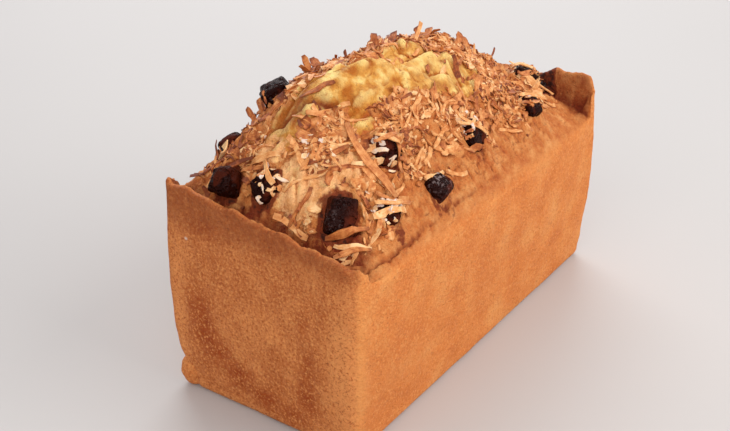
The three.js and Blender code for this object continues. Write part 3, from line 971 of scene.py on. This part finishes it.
def add_leak_lobe():
    """The small lobe of batter that leaked past the fold at the foot of one corner."""
    bpy.ops.object.select_all(action="DESELECT")
    bpy.ops.mesh.primitive_ico_sphere_add(subdivisions=5, radius=1)
    lobe = bpy.context.object
    lobe.name = "leaked_lobe"
    points = read_points(lobe.data) * LOBE_RADII + LOBE_PLACE
    write_points(lobe.data, points * MM)
    displace(lobe, 4, 1.0)
    displace(lobe, 1.2, 0.3)
    points = read_points(lobe.data)
    points[:, 2] = np.maximum(points[:, 2], 0)
    write_points(lobe.data, points)
    plain = np.zeros(len(points))
    others = dict.fromkeys(("top", "crumb", "cheek", "deep", "melt", "hollow", "scorch"), plain)
    write_attributes(lobe.data, end=plain + 0.6, **others)
    return lobe


def add_loaf():
    """The finely divided loaf, with its crust relief."""
    loaf = divided_box("baked_loaf", LOAF_DIVISIONS, open_below=True)
    points, x, y, on_top = shape_loaf(read_points(loaf.data))
    write_points(loaf.data, points * MM)
    add_group(loaf, "wall_relief", np.where(on_top, 0.3 * rim_share(x, y), smooth(0.5, 3.0, points[:, 2])))
    displace(loaf, 18, 1.4, "wall_relief")
    displace(loaf, 3.5, 0.5, "wall_relief", depth=2)
    loaf.vertex_groups.clear()
    paint_loaf(loaf.data, x, y, on_top)
    return loaf


# ---- the chocolate ----
def add_chunk(node_name, index):
    """A rough, half melted block over one chunk's solid."""
    block = add_object(node_name + "_melted", frame["nodes"][node_name].data.copy())
    block.data.materials.clear()
    active_only(block)
    bpy.ops.object.mode_set(mode="EDIT")
    bpy.ops.mesh.select_all(action="SELECT")
    bpy.ops.mesh.remove_doubles(threshold=0.01 * MM)
    bpy.ops.mesh.tris_convert_to_quads(face_threshold=FLAT_ANGLE, shape_threshold=FLAT_ANGLE)
    bpy.ops.object.mode_set(mode="OBJECT")
    worn = 0.5 if CHUNK_PLACES[index][2] > LARGE_CHUNK else 1.0
    rounding = dict(width=(0.6 + worn) * MM, segments=3, limit_method="ANGLE", angle_limit=EDGE_ANGLE)
    apply_modifier(block, "BEVEL", **rounding)
    apply_modifier(block, "SUBSURF", subdivision_type="SIMPLE", levels=3, render_levels=3)
    displace(block, 6.5, 2.2 * worn, depth=1)
    displace(block, 2.2, 0.7, depth=2)
    bpy.ops.object.shade_smooth()
    return block


# ---- the coconut ----
def crust_grid(pieces):
    """The height of the crust and chocolate over the top, by rays cast straight down."""
    prepared = bpy.context.evaluated_depsgraph_get()
    xs = np.arange(-HALF_LENGTH + 1, HALF_LENGTH - 0.5, GRID_STEP)
    ys = np.arange(-HALF_WIDTH + 1, HALF_WIDTH - 0.5, GRID_STEP)
    down = Vector((0, 0, -1))
    heights = top_height(xs[:, None], ys[None]) - 3
    for piece in pieces:
        tree = BVHTree.FromObject(piece, prepared)
        points = read_points(piece.data)
        low, high = points.min(axis=0), points.max(axis=0)
        for i in np.nonzero((xs * MM > low[0]) & (xs * MM < high[0]))[0]:
            for j in np.nonzero((ys * MM > low[1]) & (ys * MM < high[1]))[0]:
                hit = tree.ray_cast(Vector((xs[i] * MM, ys[j] * MM, RAY_HEIGHT)), down)[0]
                if hit is not None:
                    heights[i, j] = max(heights[i, j], hit.z / MM)
    return {"heights": heights, "x": xs[0], "y": ys[0]}


def crust_at(grid, x, y):
    """The grid's height at any place, between its four nearest points."""
    heights = grid["heights"]
    u = np.clip((x - grid["x"]) / GRID_STEP, 0, heights.shape[0] - 1.001)
    v = np.clip((y - grid["y"]) / GRID_STEP, 0, heights.shape[1] - 1.001)
    i, j = u.astype(int), v.astype(int)
    u, v = u - i, v - j
    low = heights[i, j] * (1 - u) + heights[i + 1, j] * u
    high = heights[i, j + 1] * (1 - u) + heights[i + 1, j + 1] * u
    return low * (1 - v) + high * v


def shred_line(kind, seed, s):
    """A shred's turn in its plane and its rise at places from -1 to 1 along it, in radians."""
    turn = kind["curl"] * (1 + 0.3 * math.sin(2.2 * seed)) * s + kind["sway"] * np.sin(2.6 * s + seed)
    return turn, kind["arch"] * (1 + 0.3 * math.cos(seed)) * s


def shred_template(name, kind, seed):
    """One shred: a strip divided along its length, with ragged sides, curled, arched and twisted."""
    strip = divided_box(name, ((kind["parts"],), (), ()))
    s, side, face_side = read_points(strip.data).T
    faces = [tuple(face.vertices) for face in strip.data.polygons]
    bpy.data.objects.remove(strip)
    ragged = 1 + 0.2 * np.sin(3.4 * s + seed) + 0.12 * np.sin(8.1 * s + 2.1 * seed + side)
    width = kind["width"] / 2 * ragged * (1 - kind["taper"] * np.abs(s) ** 4)
    thick = kind["thickness"] / 2 * (1 - 0.4 * np.abs(s) ** 3)
    twist = kind["twist"] * math.sin(1.7 * seed + 1) * s + 0.25 * math.sin(2.2 * seed)
    half = kind["length"] / 2
    steps = np.linspace(-1, 1, 2 * SPINE_STEPS + 1)
    turn, arch = shred_line(kind, seed, steps)
    spine = np.stack([np.cos(turn) * np.cos(arch), np.sin(turn) * np.cos(arch), np.sin(arch)])
    spine = np.cumsum(spine, axis=1) * half / SPINE_STEPS
    spine -= spine.mean(axis=1, keepdims=True)
    middle = np.stack([np.interp(s, steps, row) for row in spine], axis=1)
    turn, arch = shred_line(kind, seed, s)
    beside = np.stack([-np.sin(turn), np.cos(turn), 0 * s], axis=1)
    above = np.stack([-np.cos(turn) * np.sin(arch), -np.sin(turn) * np.sin(arch), np.cos(arch)], axis=1)
    offset_side = (side * width * np.cos(twist) - face_side * thick * np.sin(twist))[:, None]
    offset_up = (side * width * np.sin(twist) + face_side * thick * np.cos(twist))[:, None]
    laid = middle + beside * offset_side + above * offset_up
    return {"points": laid, "faces": faces, "tip": np.abs(s), "along": s * half, "across": side * width}


def frames_on_crust(x, y, heading):
    """For each place: the direction along the shred, across it, and out of the crust."""
    normal = top_normal(x, y)
    along = np.stack([np.cos(heading), np.sin(heading), np.zeros_like(heading)], axis=1)
    along -= normal * np.sum(along * normal, axis=1, keepdims=True)
    along /= np.linalg.norm(along, axis=1, keepdims=True)
    return along, np.cross(normal, along), normal


def lay_shreds(grid, template, lay):
    """Copies of one template laid on the crust. lay holds arrays of x, y, heading and the rest."""
    along, across, normal = frames_on_crust(lay["x"], lay["y"], lay["heading"])
    local = template["points"][None] * lay["size"][:, None, None]
    roll = lay["roll"][:, None]
    turned_y = local[..., 1] * np.cos(roll) - local[..., 2] * np.sin(roll)
    turned_z = local[..., 1] * np.sin(roll) + local[..., 2] * np.cos(roll)
    lift = lay["lift"][:, None] + lay["tilt"][:, None] * local[..., 0]
    middle = np.stack([lay["x"], lay["y"], crust_at(grid, lay["x"], lay["y"])], axis=1)
    flat = middle[:, None] + along[:, None] * local[..., :1] + across[:, None] * turned_y[..., None]
    gap = (crust_at(grid, flat[..., 0], flat[..., 1]) - flat[..., 2]) * normal[:, None, 2]
    follow = lay["drape"][:, None] * np.clip(gap, *DRAPE_LIMITS)
    return flat + normal[:, None] * (follow + lift + turned_z)[..., None]


def joined_shreds(name, batches):
    """One mesh of all the batches of laid shreds, with each one's tone and its fibre directions."""
    points, faces, tone, tip, along, across = [], [], [], [], [], []
    offset = 0
    for template, laid, lay in batches:
        copies, count = laid.shape[:2]
        points.append(laid.reshape(-1, 3))
        for copy in range(copies):
            faces.extend(tuple(v + offset + count * copy for v in face) for face in template["faces"])
        offset += copies * count
        tone.append(np.repeat(lay["tone"], count))
        tip.append(np.tile(template["tip"], copies))
        along.append(np.tile(template["along"] * FIBRE_LENGTHWISE, copies) * MM)
        across.append(np.tile(template["across"] * FIBRE_CROSSWISE, copies) * MM)
    mesh = bpy.data.meshes.new(name)
    mesh.from_pydata(np.concatenate(points) * MM, [], faces)
    values = {"tone": tone, "tip": tip, "along": along, "across": across}
    write_attributes(mesh, **{key: np.concatenate(value) for key, value in values.items()})
    piece = add_object(name, mesh)
    active_only(piece)
    bpy.ops.object.shade_smooth_by_angle(angle=SMOOTH_ANGLE)
    return piece


def coverage(x, y):
    """The share of the crust that large shreds cover, as in the solid."""
    from_end, from_side = from_edges(x, y)
    share = smooth(0.1, 0.32, crown_along(x) * crown_across(y)) * (1 - 0.85 * burst(x, y))
    return np.where((from_end < SHRED_END_MARGIN) | (from_side < SHRED_SIDE_MARGIN), 0.0, share)


def distance_to_strip(x, y, reach_x, reach_y):
    share = (x * reach_x + y * reach_y) / (reach_x**2 + reach_y**2)
    held = min(1.0, max(-1.0, share))
    return math.hypot(x - held * reach_x, y - held * reach_y)


def large_shreds():
    """The large shreds of the solid, drawn by the same seeded rule: place, size and lie of each."""
    draw = seeded_random(SHRED_SEED)
    found = []
    tries = 0
    while tries < SHRED_TRIES and len(found) < SHRED_COUNT:
        tries += 1
        x = mix(-HALF_LENGTH, HALF_LENGTH, next(draw))
        y = mix(-HALF_WIDTH, HALF_WIDTH, next(draw))
        chance = next(draw)
        length = mix(*SHRED_LENGTH, next(draw))
        width = mix(*SHRED_WIDTH, next(draw))
        heading = math.pi * next(draw)
        tilt = math.radians(mix(*SHRED_TILT, next(draw)))
        bend = mix(*SHRED_BEND, next(draw))
        if chance > coverage(x, y):
            continue
        if any(math.hypot(f[0] - x, f[1] - y) < SHRED_SPACING for f in found):
            continue
        reach_x = math.cos(heading) * length / 2
        reach_y = math.sin(heading) * length / 2
        if abs(x) + abs(reach_x) > HALF_LENGTH - SHRED_TIP_END_MARGIN:
            continue
        if abs(y) + abs(reach_y) > HALF_WIDTH - SHRED_TIP_SIDE_MARGIN:
            continue
        gaps = [
            distance_to_strip(at_x - x, at_y - y, reach_x, reach_y) - SHRED_CHUNK_CLEARANCE * edge
            for at_x, at_y, edge in CHUNK_PLACES
        ]
        if min(gaps) < width / 2:
            continue
        found.append((x, y, length, width, heading, tilt, bend))
    return np.array(found)


# Clumps where the small coconut lies thickest: the place on the top, the radii and the weight.
CLUMPS = [
    ((-67, -5), (8, 8), 1.3),
    ((-56, -16), (11, 11), 1.0),
    ((-34, -24), (14, 14), 1.0),
    ((5, -27), (16, 16), 0.9),
    ((40, -20), (20, 20), 1.0),
    ((30, 14), (26, 26), 1.0),
    ((-76, 16), (9, 9), 0.8),
    ((-30, 24), (14, 14), 0.8),
    ((70, 5), (18, 18), 0.9),
    ((72, -20), (12, 12), 0.9),
]

# Clumps of pale bits on and beside the chocolate, in the same way.
PALE_CLUMPS = [
    ((-83, 4), (6, 6), 1.0),
    ((-62, -33), (6, 6), 1.0),
    ((-47, -24), (5, 5), 0.9),
    ((3, -31), (6, 6), 0.7),
    ((-73, 17), (4, 4), 0.5),
    ((-67, -6), (7, 7), 0.7),
    ((72, -12), (6, 6), 0.4),
    ((56, -27), (6, 6), 0.3),
]

# Shreds listed one by one: from one place on the top to another, the width, tone and how far it stands
# off.
PLACED_SHREDS = [
    ((-53.4, -8.7), (-59.1, -34), 3, 0.5, 1.6),
    ((-88.3, -24.9), (-74.5, -35), 2.2, 0.6, 0.6),
    ((-89.2, -29), (-78.2, -38), 2, 0.55, 0.7),
    ((-70, -33.4), (-56.2, -39.9), 2.7, 0.2, 0.5),
    ((-91, -31.5), (-84, -38.6), 2.2, 0.65, 0.7),
    ((-85.6, -3.6), (-90, -15), 2.4, 0.35, 0.3),
    ((-66.5, -30.5), (-56.5, -37.5), 1.8, 0.25, 1.4),
    ((-60.5, -28), (-55, -38), 1.6, 0.5, 1),
    ((-61.4, 3.2), (-45.9, -6.2), 2.2, 0.4, 0.3),
    ((-57, 9), (-46, 1), 2, 0.75, 0.3),
    ((-90, 27), (-76, 15), 1.8, 1, 2.2),
    ((-80, 14), (-74, 6), 2.4, 0.3, 1),
    ((-42, -21), (-46, -33), 1.6, 0.6, 0.4),
    ((-27, -28.6), (-32.3, -33.5), 2, 0.35, 0.8),
    ((-38, -34), (-27, -36.5), 1.6, 0.15, 1.2),
    ((-3, -28), (6, -35), 1.6, 0.2, 1),
    ((0, -25), (4, -37), 1.5, 0.3, 1.2),
    ((8, -27), (3, -33), 1.5, 0.15, 1.3),
    ((-52, -21), (-42, -25), 1.7, 0.55, 1.2),
    ((-48, -19), (-44, -28), 1.8, 0.25, 1.2),
    ((70, -12), (78, -22), 1.8, 0.2, 1),
    ((84, -16), (86, -28), 1.8, 0.3, 1.2),
    ((-86, 2), (-78, 8), 2, 0.25, 1),
    ((-76, -6), (-68, 4), 2.2, 0.3, 0.2),
    ((50, -28), (60, -33), 1.6, 0.3, 1),
    ((-70, -4), (-62, -12), 2.4, 0.2, 0.3),
]

# Shreds that stand up from the crust: the place, heading, length, width, tone and slope.
STANDING_SHREDS = [
    ((20.5, 7), 0.6, 7, 1.8, 0.3, 2),
    ((70, -3), 0.8, 4, 1, 0.9, 2),
    ((-22, 12), 0.4, 4, 1.2, 1, 1.4),
    ((-58, 30), 0.7, 6.5, 2.2, 0.7, 1.3),
    ((-27, 27), 0.5, 6.5, 2.4, 0.6, 1.3),
    ((-23.5, 25.5), 0.9, 6, 3.2, 0.75, 1),
    ((-30, 25), 3.4, 6, 2.8, 0.45, 1.1),
    ((-6, 9), 0.5, 6, 3.2, 0.85, 0.9),
    ((-1, 10), 0.9, 6, 2.8, 0.7, 0.8),
    ((8, 10), 0.3, 7, 3.2, 0.8, 0.8),
    ((34, 14), 0.7, 6, 2.8, 0.85, 1),
    ((38, 12), 0.2, 6, 2.8, 0.6, 0.9),
    ((51, 4), 0.6, 6, 3, 0.65, 0.9),
    ((55, 3), 1, 5, 2.8, 0.55, 0.9),
]

# The kinds of shred: parts along it, sizes in millimetres, the share that its ends taper by, and how far
# it curls in its plane, sways, arches and twists, in radians.
SHAPE = ("parts", "length", "width", "thickness", "taper", "curl", "sway", "arch", "twist")
KINDS = {
    "strip": (8, 12, 1.9, 0.5, 0.2, 0.3, 0.2, 0.2, 0.6),
    "curl": (8, 9, 1.6, 0.45, 0.25, 1.0, 0.1, 0.4, 0.8),
    "thread": (8, 9, 0.9, 0.5, 0.3, 0.4, 0.3, 0.3, 0.5),
    "shaving": (6, 6, 2.9, 0.4, 0.3, 0.4, 0.3, 0.6, 0.7),
    "chip": (4, 4.0, 2.0, 0.45, 0.3, 0.3, 0.2, 0.4, 0.6),
    "bit": (2, 2.0, 1.4, 0.8, 0.1, 0.1, 0.0, 0.2, 0.4),
}


def shaped(kind, **changes):
    """A kind of shred, with some of its shape changed."""
    return dict(zip(SHAPE, KINDS[kind]), **changes)


def toasting_and_strand_shade(x, y):
    """How much browner the coconut is: most along the top of the crest and behind it, and with painted
    shade between the shreds on the left slope.
    """
    strand_shade = 1.5 * spot(x, y, (-60, 9), (13, 10))
    return smooth(10, 20, y + 0.12 * x) + strand_shade + 0.4 * rough(x, y, 14, 42)


def small_coverage(x, y):
    """The share of the crust that small coconut covers."""
    from_end, from_side = from_edges(x, y)
    on_crown = smooth(0.06, 0.3, crown_along(x) * crown_across(y))
    bare = np.maximum(0.97 * smooth(0.15, 0.7, open_crumb(x, y)), 0.9 * cheek(x, y))
    bare = bare * (1 - 0.9 * spot(x, y, (-67, -5), (6, 8)))
    thick = 0.45 + sum(weight * spot(x, y, at, radii) for at, radii, weight in CLUMPS)
    patchy = mix(0.4, 1.0, smooth(-0.3, 0.3, rough(x, y, 9, 41)))
    share = on_crown * (1 - bare) * np.minimum(thick, 1.4) * patchy * (1 - 0.93 * ledge(x, y))
    return np.where((from_end < SHRED_END_MARGIN) | (from_side < SMALL_SIDE_MARGIN), 0.0, share)


def near_chunks(x, y):
    """Places on and just round the visible chunks, where the pale bits lie."""
    return spots(x, y, PALE_CLUMPS)


# How the small coconut lies: its distance from the chocolate in half edges, and the ranges or spreads of
# its roll, lift, tilt, drape over the crust and tone.
LYING = dict(clear=1.15, roll=0.28, lift=(-0.1, 0.9), tilt=0.12, drape=(0.7, 1.0), tone=(0.42, 0.2))
LOOSE = dict(LYING, clear=1.05, roll=0.35, lift=(0.1, 1.3), tilt=0.14, drape=(0.5, 0.95))
TINY = dict(LYING, roll=0.7, lift=(0.0, 0.5), tilt=0.3, tone=(0.42, 0.22))
SPRINKLED = dict(LYING, clear=0.0, roll=0.7, lift=(0.2, 1.0), tilt=0.4, tone=(0.45, 0.28))

# The shapes in each piece of small coconut.
STRIPS = [
    shaped("strip"),
    shaped("strip", length=16),
    shaped("strip", length=9, width=2.0),
    shaped("strip", width=1.6, curl=-0.3),
    shaped("curl"),
    shaped("curl", length=8, curl=-0.7),
]
THREADS = [
    shaped("thread"),
    shaped("thread", length=13, curl=-0.5),
    shaped("thread", length=7, curl=0.8),
]
FLAKES = [
    shaped("shaving"),
    shaped("shaving", length=5, width=2.3),
    shaped("shaving", length=8, arch=-0.4),
    shaped("shaving", width=3.8),
    shaped("chip"),
    shaped("chip", length=5.5, width=1.4),
    shaped("chip", length=2.8, width=2.2),
]
SLIVERS = [
    shaped("chip", length=2.6, width=1.6),
    shaped("chip", length=4.5, width=1.3),
    shaped("chip", length=1.6, width=1.4),
]
BITS = [
    shaped("bit"),
    shaped("bit", length=1.5, width=1.2),
    shaped("bit", length=3.0, width=1.0),
]

# Each piece of small coconut: its name, the setting of its count, its shapes, where it lies and how.
SMALL_PIECES = [
    ("strips", "shreds", STRIPS, small_coverage, LYING),
    ("threads", "threads", THREADS, small_coverage, LOOSE),
    ("flakes", "flakes", FLAKES, small_coverage, LYING),
    ("pale_bits", "pale", SLIVERS, near_chunks, SPRINKLED),
    ("coconut_crumbs", "crumbs", BITS, small_coverage, TINY),
]


def scatter(random, count, rule):
    """Draws places on the top by a rule that gives each place's share."""
    x, y = np.empty(0), np.empty(0)
    while len(x) < count:
        tries_x = random.uniform(-HALF_LENGTH, HALF_LENGTH, TRIES_AT_ONCE)
        tries_y = random.uniform(-HALF_WIDTH, HALF_WIDTH, TRIES_AT_ONCE)
        kept = random.uniform(0, 1, TRIES_AT_ONCE) < rule(tries_x, tries_y)
        x, y = np.append(x, tries_x[kept]), np.append(y, tries_y[kept])
    return x[:count], y[:count]


def small_lay(random, count, rule, lie):
    """Places and lies for a batch of small coconut, each value drawn from its range."""
    x, y = scatter(random, count, rule)
    clear = chunk_distance(x, y) > np.where(x < -20, lie["clear"], 0.6 * lie["clear"])
    x, y = x[clear], y[clear]
    drawn = len(x)
    browner = TOASTING_SHARE * toasting_and_strand_shade(x, y)
    return {
        "x": x,
        "y": y,
        "heading": random.uniform(0, 2 * math.pi, drawn),
        "size": random.uniform(0.5, 1.25, drawn),
        "roll": random.normal(0, lie["roll"], drawn),
        "lift": random.uniform(*lie["lift"], drawn),
        "tilt": random.normal(0, lie["tilt"], drawn),
        "drape": random.uniform(*lie["drape"], drawn),
        "tone": clamp01(random.normal(*lie["tone"], drawn) + browner),
    }


def single_shred(grid, name, seed, kind, **lie):
    """One shred at a place of its own, as a batch for joined_shreds."""
    template = shred_template(name, kind, seed)
    lay = {key: np.array([value], dtype=float) for key, value in lie.items()}
    return template, lay_shreds(grid, template, lay), lay


def add_large_shreds(grid):
    """The solid's own large shreds, each laid where the solid has it."""
    batches = []
    for index, (x, y, length, width, heading, tilt, bend) in enumerate(large_shreds()):
        if open_crumb(np.array(x), np.array(y)) > 0.4:
            continue
        kind = shaped("strip", length=length, width=0.8 * width, curl=0.15 * (index % 4 - 1.5))
        tone = 0.2 + 0.5 * ((x * 7.3 + y * 3.1) % 1) + 0.2 * toasting_and_strand_shade(np.array(x), np.array(y))
        lie = dict(x=x, y=y, heading=heading, size=1.0, drape=0.8, tone=tone)
        lie.update(roll=0.2 * math.sin(index), lift=0.3 + 0.3 * bend, tilt=-0.7 * math.tan(tilt))
        batches.append(single_shred(grid, "large_shred", 1.7 + 0.9 * index, kind, **lie))
    return joined_shreds("large_shreds", batches)


def laid_by_hand(grid, index, place, heading, length, width, tone, lift, tilt):
    """One shred at a place of its own choosing, barely curled."""
    curl = 0.12 * math.sin(2.3 * index)
    kind = shaped("strip", length=length, width=width, curl=curl, arch=0.1, twist=0.25)
    lie = dict(x=place[0], y=place[1], heading=heading, size=1.0, tilt=tilt, tone=tone)
    lie.update(roll=0.15 * math.sin(1.9 * index), lift=0.5 + lift, drape=max(0.0, 0.9 - 0.3 * lift))
    return single_shred(grid, "laid_shred", 1.1 + 0.7 * index, kind, **lie)


def add_placed_shreds(grid):
    """The shreds that are listed one by one: each from one place to another, and those that stand up."""
    batches = []
    for index, ((from_x, from_y), (to_x, to_y), width, tone, lift) in enumerate(PLACED_SHREDS):
        run_x, run_y = to_x - from_x, to_y - from_y
        start, end = crust_at(grid, np.array([from_x, to_x]), np.array([from_y, to_y]))
        length = math.hypot(run_x, run_y, end - start)
        place = ((from_x + to_x) / 2, (from_y + to_y) / 2)
        heading = math.atan2(run_y, run_x)
        batches.append(laid_by_hand(grid, index, place, heading, length, width, tone, lift, 0.0))
    for index, (place, heading, length, width, tone, tilt) in enumerate(STANDING_SHREDS):
        lift = 0.3 * length * min(1.0, tilt)
        batches.append(laid_by_hand(grid, 40 + index, place, heading, length, width, tone, lift, tilt))
    return joined_shreds("placed_shreds", batches)


def add_small_shreds(name, grid, random, count, kinds, rule, lie):
    """A piece of one kind of small coconut: a few templates, each laid many times."""
    batches = []
    for index, kind in enumerate(kinds):
        template = shred_template(name, kind, 0.9 + 1.37 * index)
        lay = small_lay(random, count // len(kinds), rule, lie)
        batches.append((template, lay_shreds(grid, template, lay), lay))
    return joined_shreds(name, batches)


# ---- settings ----
def count_setting(name, description, count):
    return bpy.props.IntProperty(name=name, description=description, default=count, min=0)


class CakeSettings(bpy.types.PropertyGroup):
    """How much coconut the cake carries."""

    shreds: count_setting("Shreds", "Long small shreds", 520)
    threads: count_setting("Threads", "Thin threads", 260)
    flakes: count_setting("Flakes", "Short broad flakes", 1700)
    pale: count_setting("Pale bits", "Pale bits by the chocolate", 130)
    crumbs: count_setting("Crumbs", "Tiny bits of coconut", 1800)


def colour_setting(name, description, *shown):
    """A colour, given in the 0 to 255 values that a picture shows."""
    fixed = dict(subtype="COLOR", size=3, min=0, max=1)
    return bpy.props.FloatVectorProperty(name=name, description=description, default=srgb(*shown), **fixed)


class CakeColours(bpy.types.PropertyGroup):
    """Colours of the cake's surfaces."""

    wall: colour_setting("Wall", "Long walls", 229, 136, 67)
    wall_light: colour_setting("Wall light", "Paler mottling of the walls", 240, 162, 92)
    wall_dark: colour_setting("Wall dark", "Browner mottling of the walls", 212, 116, 52)
    end: colour_setting("End", "End walls", 206, 120, 62)
    end_light: colour_setting("End light", "Paler edges of the end walls", 236, 150, 84)
    end_dark: colour_setting("End dark", "Browner mottling of the end walls", 186, 98, 44)
    end_patch: colour_setting("End patch", "Dark patches of the end walls", 162, 66, 10)
    crust: colour_setting("Crust", "Crust on top", 207, 122, 60)
    crust_light: colour_setting("Crust light", "Paler crust", 228, 156, 92)
    crust_dark: colour_setting("Crust dark", "Browner crust", 184, 90, 36)
    # Painted red-brown shade: in the hollows, behind the rims and round the chunks.
    crust_deep: colour_setting("Crust deep", "Red-brown hollows", 118, 38, 6)
    # Also painted shade: in the torn near edge and between the shreds on the left slope.
    rim_brown: colour_setting("Rim", "Brown band under the rim", 148, 70, 28)
    crumb: colour_setting("Crumb", "Soft crumb of the burst", 226, 158, 70)
    crumb_pale: colour_setting("Crumb pale", "Palest crumb", 255, 220, 138)
    # Also the painted shade in the hollows of the crumb.
    crumb_gold: colour_setting("Crumb gold", "Golden hollows of the crumb", 184, 102, 26)
    cheek: colour_setting("Cheek", "Soft peach fold of the near slope", 252, 190, 130)
    chocolate: colour_setting("Chocolate", "Dark chocolate", 32, 8, 5)
    chocolate_brown: colour_setting("Chocolate dull", "Dull face of the chocolate", 80, 29, 14)
    coconut_white: colour_setting("Coconut white", "Untoasted coconut", 234, 212, 196)
    coconut_cream: colour_setting("Coconut cream", "Barely toasted coconut", 246, 200, 144)
    coconut_light: colour_setting("Coconut light", "Lightly toasted coconut", 230, 162, 98)
    coconut: colour_setting("Coconut", "Toasted coconut", 208, 128, 66)
    coconut_brown: colour_setting("Coconut brown", "Well toasted coconut", 168, 86, 36)
    coconut_dark: colour_setting("Coconut dark", "Burnt tips", 112, 48, 18)
    floor: colour_setting("Floor", "Plain floor", 192, 187, 184)
    # Painted grey glints and sheen on the chocolate.
    glint_sheen: colour_setting("Bloom", "Grey bloom and glints of the chocolate", 166, 146, 144)


# ---- operators ----
class CAKE_OT_loaf(bpy.types.Operator):
    """Model the baked loaf over its solid"""

    bl_idname = "cake.loaf"
    bl_label = "Baked Loaf"

    def execute(self, context):
        material = crust_material(context.scene.cake_colours)
        loaf = add_loaf()
        lobe = add_leak_lobe()
        for piece in (loaf, lobe):
            active_only(piece)
            bpy.ops.object.shade_smooth()
            piece.data.materials.append(material)
            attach(piece, "root")
        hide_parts("loaf")
        return {"FINISHED"}


class CAKE_OT_chocolate(bpy.types.Operator):
    """Model the half melted chocolate over its solids"""

    bl_idname = "cake.chocolate"
    bl_label = "Chocolate Chunks"

    def execute(self, context):
        material = chocolate_material(context.scene.cake_colours)
        names = sorted(name for name in frame["nodes"] if name.startswith("chocolate_chunk"))
        if len(names) != len(CHUNK_PLACES):
            raise RuntimeError("the frame's chunks and the listed places differ in number")
        for index, name in enumerate(names):
            block = add_chunk(name, index)
            block.data.materials.append(material)
            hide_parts(name)
            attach(block, "root")
        return {"FINISHED"}


class CAKE_OT_coconut(bpy.types.Operator):
    """Scatter the toasted coconut over the crown"""

    bl_idname = "cake.coconut"
    bl_label = "Toasted Coconut"

    def execute(self, context):
        settings = context.scene.cake_settings
        colours = context.scene.cake_colours
        blocks = [piece for piece in bpy.data.objects if piece.name.endswith("_melted")]
        grid = crust_grid([bpy.data.objects["baked_loaf"], *blocks])
        random = np.random.default_rng(COCONUT_SEED)
        toasted = [
            (0.0, colours.coconut_cream),
            (0.25, colours.coconut_light),
            (0.5, colours.coconut),
            (0.75, colours.coconut_brown),
            (1.0, colours.coconut_dark),
        ]
        pale = [(0.2, colours.coconut_white), (0.6, colours.coconut_cream), (1.0, colours.coconut)]
        golden = coconut_material("toasted_coconut", toasted, colours.coconut_dark)
        cream = coconut_material("pale_coconut", pale, colours.coconut)
        made = [(add_large_shreds(grid), golden), (add_placed_shreds(grid), golden)]
        for name, setting, shapes, rule, lie in SMALL_PIECES:
            piece = add_small_shreds(name, grid, random, getattr(settings, setting), shapes, rule, lie)
            made.append((piece, cream if name == "pale_bits" else golden))
        for piece, material in made:
            piece.data.materials.append(material)
            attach(piece, "root")
        return {"FINISHED"}


def add_area_light(name, place, size, power, colour):
    """Adds a soft light that points at the middle of the cake."""
    lamp = bpy.data.lights.new(name, "AREA")
    lamp.shape = "RECTANGLE"
    lamp.size, lamp.size_y = size
    lamp.energy = power
    lamp.color = colour
    light = add_object(name, lamp)
    light.location = place
    light.rotation_euler = (CAKE_MIDDLE - Vector(place)).to_track_quat("-Z", "Y").to_euler()


class CAKE_OT_stage(bpy.types.Operator):
    """Add the plain floor, the soft light and the camera"""

    bl_idname = "cake.stage"
    bl_label = "Stage"

    def execute(self, context):
        scene = context.scene
        bpy.ops.object.select_all(action="DESELECT")
        grid = dict(x_subdivisions=FLOOR_DIVISIONS, y_subdivisions=FLOOR_DIVISIONS, size=FLOOR_SIZE)
        bpy.ops.mesh.primitive_grid_add(**grid, location=(0, 0, 0))
        floor = context.object
        floor.name = "floor"
        floor.data.materials.append(floor_material(scene.cake_colours))
        world = bpy.data.worlds.new("soft_room")
        world.use_nodes = True
        background = world.node_tree.nodes["Background"]
        background.inputs["Color"].default_value = ROOM_COLOUR
        background.inputs["Strength"].default_value = ROOM_STRENGTH
        scene.world = world
        for lamp in LAMPS:
            add_area_light(*lamp)
        scene.view_settings.view_transform = "Standard"
        camera = add_object("camera", bpy.data.cameras.new("camera"))
        back = CAMERA_BACK.normalized()
        right = Vector((0, 0, 1)).cross(back).normalized()
        turn = Matrix((right, back.cross(right), back)).transposed()
        camera.matrix_world = Matrix.Translation(CAMERA_PLACE) @ turn.to_4x4()
        camera.data.lens = CAMERA_LENS
        camera.data.sensor_width = CAMERA_SENSOR
        camera.data.clip_start = 0.01
        scene.camera = camera
        return {"FINISHED"}


class CAKE_PT_panel(bpy.types.Panel):
    """The steps that make the cake"""

    bl_label = "Cake"
    bl_idname = "CAKE_PT_panel"
    bl_space_type = "VIEW_3D"
    bl_region_type = "UI"
    bl_category = "Cake"

    def draw(self, context):
        layout = self.layout
        for group in (context.scene.cake_settings, context.scene.cake_colours):
            for name in group.bl_rna.properties.keys():
                if name not in ("rna_type", "name"):
                    layout.prop(group, name)
        for step in STEPS:
            layout.operator(step.bl_idname)


STEPS = (CAKE_OT_loaf, CAKE_OT_chocolate, CAKE_OT_coconut, CAKE_OT_stage)
CLASSES = (CakeSettings, CakeColours, *STEPS, CAKE_PT_panel)


def register():
    for item in CLASSES:
        bpy.utils.register_class(item)
    bpy.types.Scene.cake_settings = bpy.props.PointerProperty(type=CakeSettings)
    bpy.types.Scene.cake_colours = bpy.props.PointerProperty(type=CakeColours)


def unregister():
    del bpy.types.Scene.cake_colours
    del bpy.types.Scene.cake_settings
    for item in reversed(CLASSES):
        bpy.utils.unregister_class(item)


def main():
    register()
    bpy.ops.cake.loaf()
    bpy.ops.cake.chocolate()
    bpy.ops.cake.coconut()
    bpy.ops.cake.stage()


if __name__ == "__main__":
    main()
